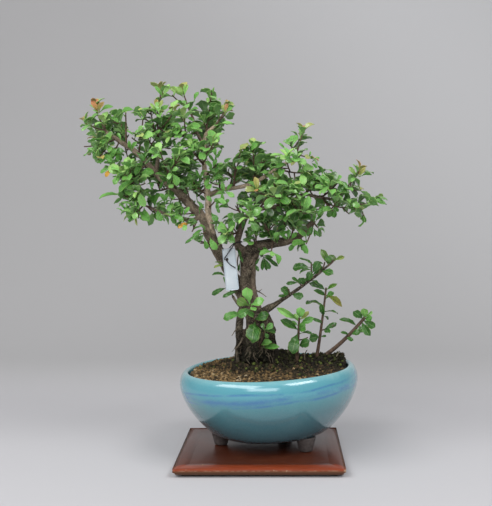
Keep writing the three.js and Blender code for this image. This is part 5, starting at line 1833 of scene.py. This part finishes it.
def grow_limb_spurs(looks, wood_tree):
    copies, lines = [], []
    for root, tip in LIMB_SPURS:
        twig = Twig(root, tip)
        places = rosette_places(twig, looks)
        spurs = spurs_of(twig, looks)
        for spur in spurs:
            places += rosette_places(spur, looks)
        roots = []
        for k, root_at, out, face, length in places:
            tint = next(looks)
            if not in_the_way(root_at, out, length, wood_tree):
                age = clamp(0.2 + 0.1 * k + 0.3 * (tint - 0.35))
                shape = any_shape(looks)
                copies.append((shape, leaf_matrix(root_at, out, face, length), [age, 0, tint]))
                roots.append(root_at)
        if roots:
            lines.append(twig_line(twig, FORK_BASE, 4))
        lines += [twig_line(spur, SPUR_BASE, 3) for spur in spurs if leafy(spur, roots)]
    return copies, lines


def wood_look_up():
    mesh = wood.data
    points = [point.co for point in mesh.vertices]
    return BVHTree.FromPolygons(points, [face.vertices for face in mesh.polygons])


# %% [markdown]
# ### Leaf and twig finishes
# The leaf reads its own map: the midrib runs up the middle, side veins branch at a slant, and the edge is
# thin and yellowish. The top is satin, the underside paler and dull, and a little light passes through.
# Twigs have dark, finely cracked bark.

# %% Paint leaves and twigs
AGE_STOPS = [(0.0, (0.39, 0.67, 0.19)), (0.2, (0.305, 0.6, 0.165)), (0.45, (0.225, 0.52, 0.13)),
             (0.72, (0.147, 0.4, 0.072)), (0.88, (0.062, 0.21, 0.033)), (1.0, (0.026, 0.105, 0.014))]
AMBER = (0.66, 0.36, 0.04)
COPPER = (0.55, 0.2, 0.09)
GREY_GREEN = (0.16, 0.24, 0.09)
VEIN_GREEN = (0.4, 0.52, 0.24)
RIM_GREEN = (0.4, 0.42, 0.1)
UNDER_GREEN = (0.2, 0.3, 0.15)
TWIG_BARK = ((0.075, 0.042, 0.028), (0.2, 0.13, 0.085))
TWIG_CRACK = (0.025, 0.016, 0.012)
MIDRIB_CREASE = 26


def leaf_material():
    material, tree, shader = new_material("leaf", Subsurface_Weight=0.12, Subsurface_Scale=0.002, IOR=1.5,
                                          Specular_IOR_Level=0.3, Coat_Roughness=0.2,
                                          Subsurface_Radius=(0.5, 1.0, 0.2))
    axes = axes_of(put(tree, "ShaderNodeTexCoord").outputs["UV"])
    spots = mottled(object_place(tree), 260.0, 0.6)
    age = maths("MULTIPLY_ADD", about_zero(spots), 0.16, attribute(tree, "age"))
    tint, blush, under = (attribute(tree, name) for name in ("tint", "blush", "under"))
    colour = ramp(age, AGE_STOPS)
    colour = blend(ranged(tint, 0.5, 1.0, 0.0, 0.2), colour, GREY_GREEN)
    off_middle = maths("ABSOLUTE", about_zero(axes["X"]))
    midrib = ranged(off_middle, 0.035, 0.01)
    slant = maths("MULTIPLY_ADD", off_middle, -0.9, axes["Y"])
    veins = ranged(maths("SINE", times(slant, 44.0)), 0.82, 1.0, 0.0, 0.5)
    rib = maths("MAXIMUM", midrib, veins)
    colour = blend(times(rib, 0.5), colour, VEIN_GREEN)
    colour = blend(ranged(off_middle, 0.44, 0.5, 0.0, 0.3), colour, RIM_GREEN)
    reach = times(blush, ranged(axes["Y"], 0.1, 0.8, 0.55, 1.0), clamp=True)
    colour = blend(reach, colour, COPPER)
    colour = blend(ranged(blush, 1.0, 2.0), colour, AMBER)
    colour = blend(times(under, 0.4), colour, UNDER_GREEN)
    dull = ranged(maths("MULTIPLY_ADD", spots, 0.2, under), 0.0, 1.2, 0.27, 0.7)
    bump(shader, maths("SUBTRACT", times(spots, 0.3), rib), 0.6, 0.4 * MM)
    feed(shader, Base_Color=colour, Roughness=dull, Coat_Weight=ranged(tint, 0.25, 1.0, 0.1, 1.0))
    return material


def twig_material():
    material, tree, shader = new_material("twig_bark", Roughness=0.7, Specular_IOR_Level=0.4)
    place = object_place(tree)
    patches = mottled(place, 240.0, 0.8)
    crack = ranged(cracked(place, 500.0, 0.2), 0.0, 1.0, 0.0, 0.5)
    feed(shader, Base_Color=blend(crack, blend(patches, *TWIG_BARK), TWIG_CRACK))
    bump(shader, patches, 0.5, 0.3 * MM)
    return material


LEAF_FINISH = leaf_material()
TWIG_FINISH = twig_material()


def with_added(name, grown, looks):
    """What has grown by rule or row, and the added leaves where the name has any."""
    if name not in ADDED:
        return grown
    return [part + more for part, more in zip(grown, grow_placed(added_growth(name), looks, (FORK_BASE,)))]


def dress_growth(name, copies, lines):
    """One piece of leaves and their twigs, finished and riding on the tree."""
    leaves = write_copies(name + "_grown", LEAVES, copies, ["age", "blush", "tint"])
    twigs = tubes(name + "_twigs", lines, 8)
    coat(leaves, LEAF_FINISH)
    coat(twigs, TWIG_FINISH)
    shade_piece(twigs)
    shade_piece(leaves, MIDRIB_CREASE)
    pick(leaves, twigs)
    bpy.ops.object.join()
    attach(leaves, "root")
    return leaves


looks = seeded_draws(LOOK_SEED)
wood_tree = wood_look_up()
leaf_count = 0
for index, row in enumerate(SPRAYS):
    name = row[0]
    if name in PLACED:
        grown = grow_placed(PLACED[name], looks, IN_SOIL.get(name, (TWIG_BASE,)))
    else:
        grown = grow_spray(index, row, wood_tree, looks)
    copies, lines = with_added(name, grown, looks)
    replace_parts(dress_growth(name, copies, lines), name)
    leaf_count += len(copies)
copies, lines = with_added("limb_spurs", grow_limb_spurs(looks, wood_tree), looks)
dress_growth("limb_spurs", copies, lines)
print("leaves", leaf_count + len(copies))

# %% [markdown]
# ## The tag and its tie
# A plain white plastic tag hangs from the middle limb. It is a thin plate with its upper corners rounded
# and one punched hole. The tie is two strands of black wire twisted round each other, so each is a helix
# about the route.

# %% Make the tag
TAG = {"width": 15.6, "height": 50, "thickness": 0.8, "top": (-47.2, -14, 247.4), "lean": 0.085}
TAG_TONES = ((0.5, 0.58, 0.64), (0.68, 0.73, 0.76))
TAG_HOLE = {"radius": 1.8, "across": -3, "down": 13}


def make_tag():
    let_go()
    bpy.ops.mesh.primitive_cube_add(size=1, location=(0, 0, -TAG["height"] / 2 * MM))
    tag = named("plant_tag")
    tag.scale = (TAG["width"] * MM, TAG["thickness"] * MM, TAG["height"] * MM)
    settle(tag)
    for edge in tag.data.edges:
        first, second = (tag.data.vertices[i].co for i in edge.vertices)
        edge.select = abs(first.y - second.y) > 0.1 * MM and first.z > -1 * MM
    set_mode("EDIT")
    bpy.ops.mesh.select_mode(type="EDGE")
    bpy.ops.mesh.bevel(offset=2 * MM, segments=6, affect="EDGES")
    set_mode("OBJECT")
    let_go()
    bpy.ops.mesh.primitive_cylinder_add(vertices=28, radius=TAG_HOLE["radius"] * MM, depth=10 * MM,
                                        location=(TAG_HOLE["across"] * MM, 0, -TAG_HOLE["down"] * MM),
                                        rotation=(math.radians(90), 0, 0))
    punch = named("punch")
    settle(punch)
    join_by(tag, punch, "DIFFERENCE")
    apply_modifier(tag, "BEVEL", width=0.12 * MM, segments=2, limit_method="ANGLE")
    turn = Matrix.Translation(Vector(TAG["top"]) * MM) @ Matrix.Rotation(-TAG["lean"], 4, "Y")
    tag.data.transform(turn)
    shade_piece(tag, crease=35)
    return tag


tag = make_tag()
coat(tag, plastic_material("tag_plastic", TAG_TONES, (60.0, 0.4), (0.34, 0.5), (300.0, 0.5)))
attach(tag, "root")
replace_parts(tag, "label_tag")
print("tag", [round(side / MM, 1) for side in tag.dimensions])

# %% Twist the tie
WIRE_ROUTE = [
    (-39, -16.2, 224), (-44.5, -16.6, 227.5), (-48.4, -17, 231.6), (-49.1, -16, 234), (-49.1, -14, 234.7),
    (-49.1, -12, 235.6), (-48.8, -11.2, 238.5), (-47.5, -11.3, 244), (-45, -12, 249), (-41, -12.2, 252.5),
    (-36.8, -11.9, 254), (-32.7, -10, 254.4), (-31.1, -6.2, 254.6), (-32.9, -2.2, 255), (-37, -0.6, 255.5),
    (-41.1, -2.4, 255.6), (-42, -6.4, 254), (-41, -12, 251.5), (-42.5, -15.8, 248.6), (-45.6, -16.2, 244.6),
    (-49.2, -16.2, 239.4), (-51.3, -16.6, 236.4), (-51.6, -17, 233.6),
]
STRAND_RADIUS = 0.42
STRAND_OFFSET = 0.34
TWIST_PITCH = 3.6
WIRE_TONES = ((0.006, 0.006, 0.007), (0.02, 0.02, 0.022))


def twisted_strands():
    line = rounded_line([(*point, 0) for point in WIRE_ROUTE], 8)[:, :3]
    directions = np.gradient(line, axis=0)
    directions /= np.linalg.norm(directions, axis=1)[:, None]
    reached = np.concatenate([[0], np.cumsum(np.linalg.norm(np.diff(line, axis=0), axis=1))])
    across = np.array([0.0, 1.0, 0.0])
    strands = ([], [])
    for point, along, distance in zip(line, directions, reached):
        across = across - along * across.dot(along)
        across /= np.linalg.norm(across)
        beside = np.cross(along, across)
        for side, strand in enumerate(strands):
            turn = 2 * math.pi * distance / TWIST_PITCH + side * math.pi
            offset = STRAND_OFFSET * (math.cos(turn) * across + math.sin(turn) * beside)
            strand.append((*(point + offset), STRAND_RADIUS))
    return strands


wire = tubes("tag_tie", twisted_strands(), 12)
shade_piece(wire)
coat(wire, plastic_material("wire", WIRE_TONES, (500.0, 0.6), (0.35, 0.6), (900.0, 0.5)))
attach(wire, "root")
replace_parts(wire, "label_wire")
print("tie", triangles(wire), "triangles")

# %% [markdown]
# ## The studio
# The tree stands on pale grey paper that sweeps up behind it, so there is no horizon. The paper is painted
# lighter to the upper right and towards the front, as painted light. Two broad lamps overhead are what the
# bowl's shoulder mirrors as soft bright patches, a third lights the front, and a dim grey world fills the
# shadows.

# %% Sweep the backdrop
FLOOR_SIZE = 7.0
WALL_AT = 1.6
WALL_HEIGHT = 3.2
PAPER_TONES = ((0.527, 0.524, 0.528), (0.555, 0.552, 0.557))
PAPER_LIT = (0.688, 0.69, 0.7)
PAPER_NEAR_LIGHT = (0.59, 0.585, 0.605)
SWEEP_RADIUS = 0.9


def sweep_backdrop():
    let_go()
    bpy.ops.mesh.primitive_plane_add(size=1, location=(0, WALL_AT - FLOOR_SIZE / 2, 0))
    sweep = named("backdrop")
    sweep.scale = (FLOOR_SIZE, FLOOR_SIZE, 1)
    settle(sweep)
    set_mode("EDIT")
    bpy.ops.mesh.select_mode(type="EDGE")
    bpy.ops.mesh.select_all(action="DESELECT")
    set_mode("OBJECT")
    for edge in sweep.data.edges:
        edge.select = all(sweep.data.vertices[i].co.y > WALL_AT - 0.01 for i in edge.vertices)
    set_mode("EDIT")
    bpy.ops.mesh.extrude_region_move(TRANSFORM_OT_translate={"value": (0, 0, WALL_HEIGHT)})
    set_mode("OBJECT")
    for edge in sweep.data.edges:
        points = [sweep.data.vertices[i].co for i in edge.vertices]
        edge.select = all(point.y > WALL_AT - 0.01 and point.z < 0.01 for point in points)
    set_mode("EDIT")
    bpy.ops.mesh.bevel(offset=SWEEP_RADIUS, segments=24, affect="EDGES")
    set_mode("OBJECT")
    shade_piece(sweep)
    return sweep


def paper_material():
    material, tree, shader = new_material("paper", Roughness=0.9, Specular_IOR_Level=0.2)
    place = object_place(tree)
    axes = axes_of(place)
    colour = blend(mottled(place, 1.2, 0.2), *PAPER_TONES)
    # Painted light: the paper is painted lighter to the right and upward.
    light_rightward = maths("MULTIPLY_ADD", axes["X"], 0.6, times(axes["Z"], 0.5))
    colour = blend(ranged(light_rightward, 0.1, 0.75, smooth=True), colour, PAPER_LIT)
    # Painted light: the floor towards the front is painted lighter.
    near_light = ranged(axes["Y"], 0.7, 0.2, smooth=True)
    feed(shader, Base_Color=blend(near_light, colour, PAPER_NEAR_LIGHT))
    return material


backdrop = sweep_backdrop()
coat(backdrop, paper_material())
print("backdrop", [round(side, 1) for side in backdrop.dimensions])

# %% Hang the lamps
LAMPS = [
    ("lamp_left", (-1.05, -0.95, 1.5), (1.8, 0.75), 20.5),
    ("lamp_right", (0.95, -0.75, 1.5), (1.05, 0.6), 13.8),
    ("lamp_front", (-0.3, -2.2, 1.2), (1.6, 0.7), 14.5),
]
LAMP_AIM = Vector((-0.02, 0.0, 0.15))
WORLD_GREY = (0.5, 0.5, 0.51)
WORLD_STRENGTH = 0.62


def hang_lamp(name, at, size, power):
    bpy.ops.object.light_add(type="AREA", location=at)
    lamp = bpy.context.object
    lamp.name = name
    lamp.data.shape = "RECTANGLE"
    lamp.data.size = size[0]
    lamp.data.size_y = size[1]
    lamp.data.energy = power
    lamp.rotation_euler = (LAMP_AIM - Vector(at)).to_track_quat("-Z", "Y").to_euler()
    return lamp


for lamp_row in LAMPS:
    hang_lamp(*lamp_row)
world = bpy.data.worlds.new("studio")
world.use_nodes = True
sky = world.node_tree.nodes["Background"].inputs
sky["Color"].default_value = (*WORLD_GREY, 1)
sky["Strength"].default_value = WORLD_STRENGTH
bpy.context.scene.world = world
bpy.context.scene.view_settings.view_transform = "Standard"
print("lamps", len(LAMPS))
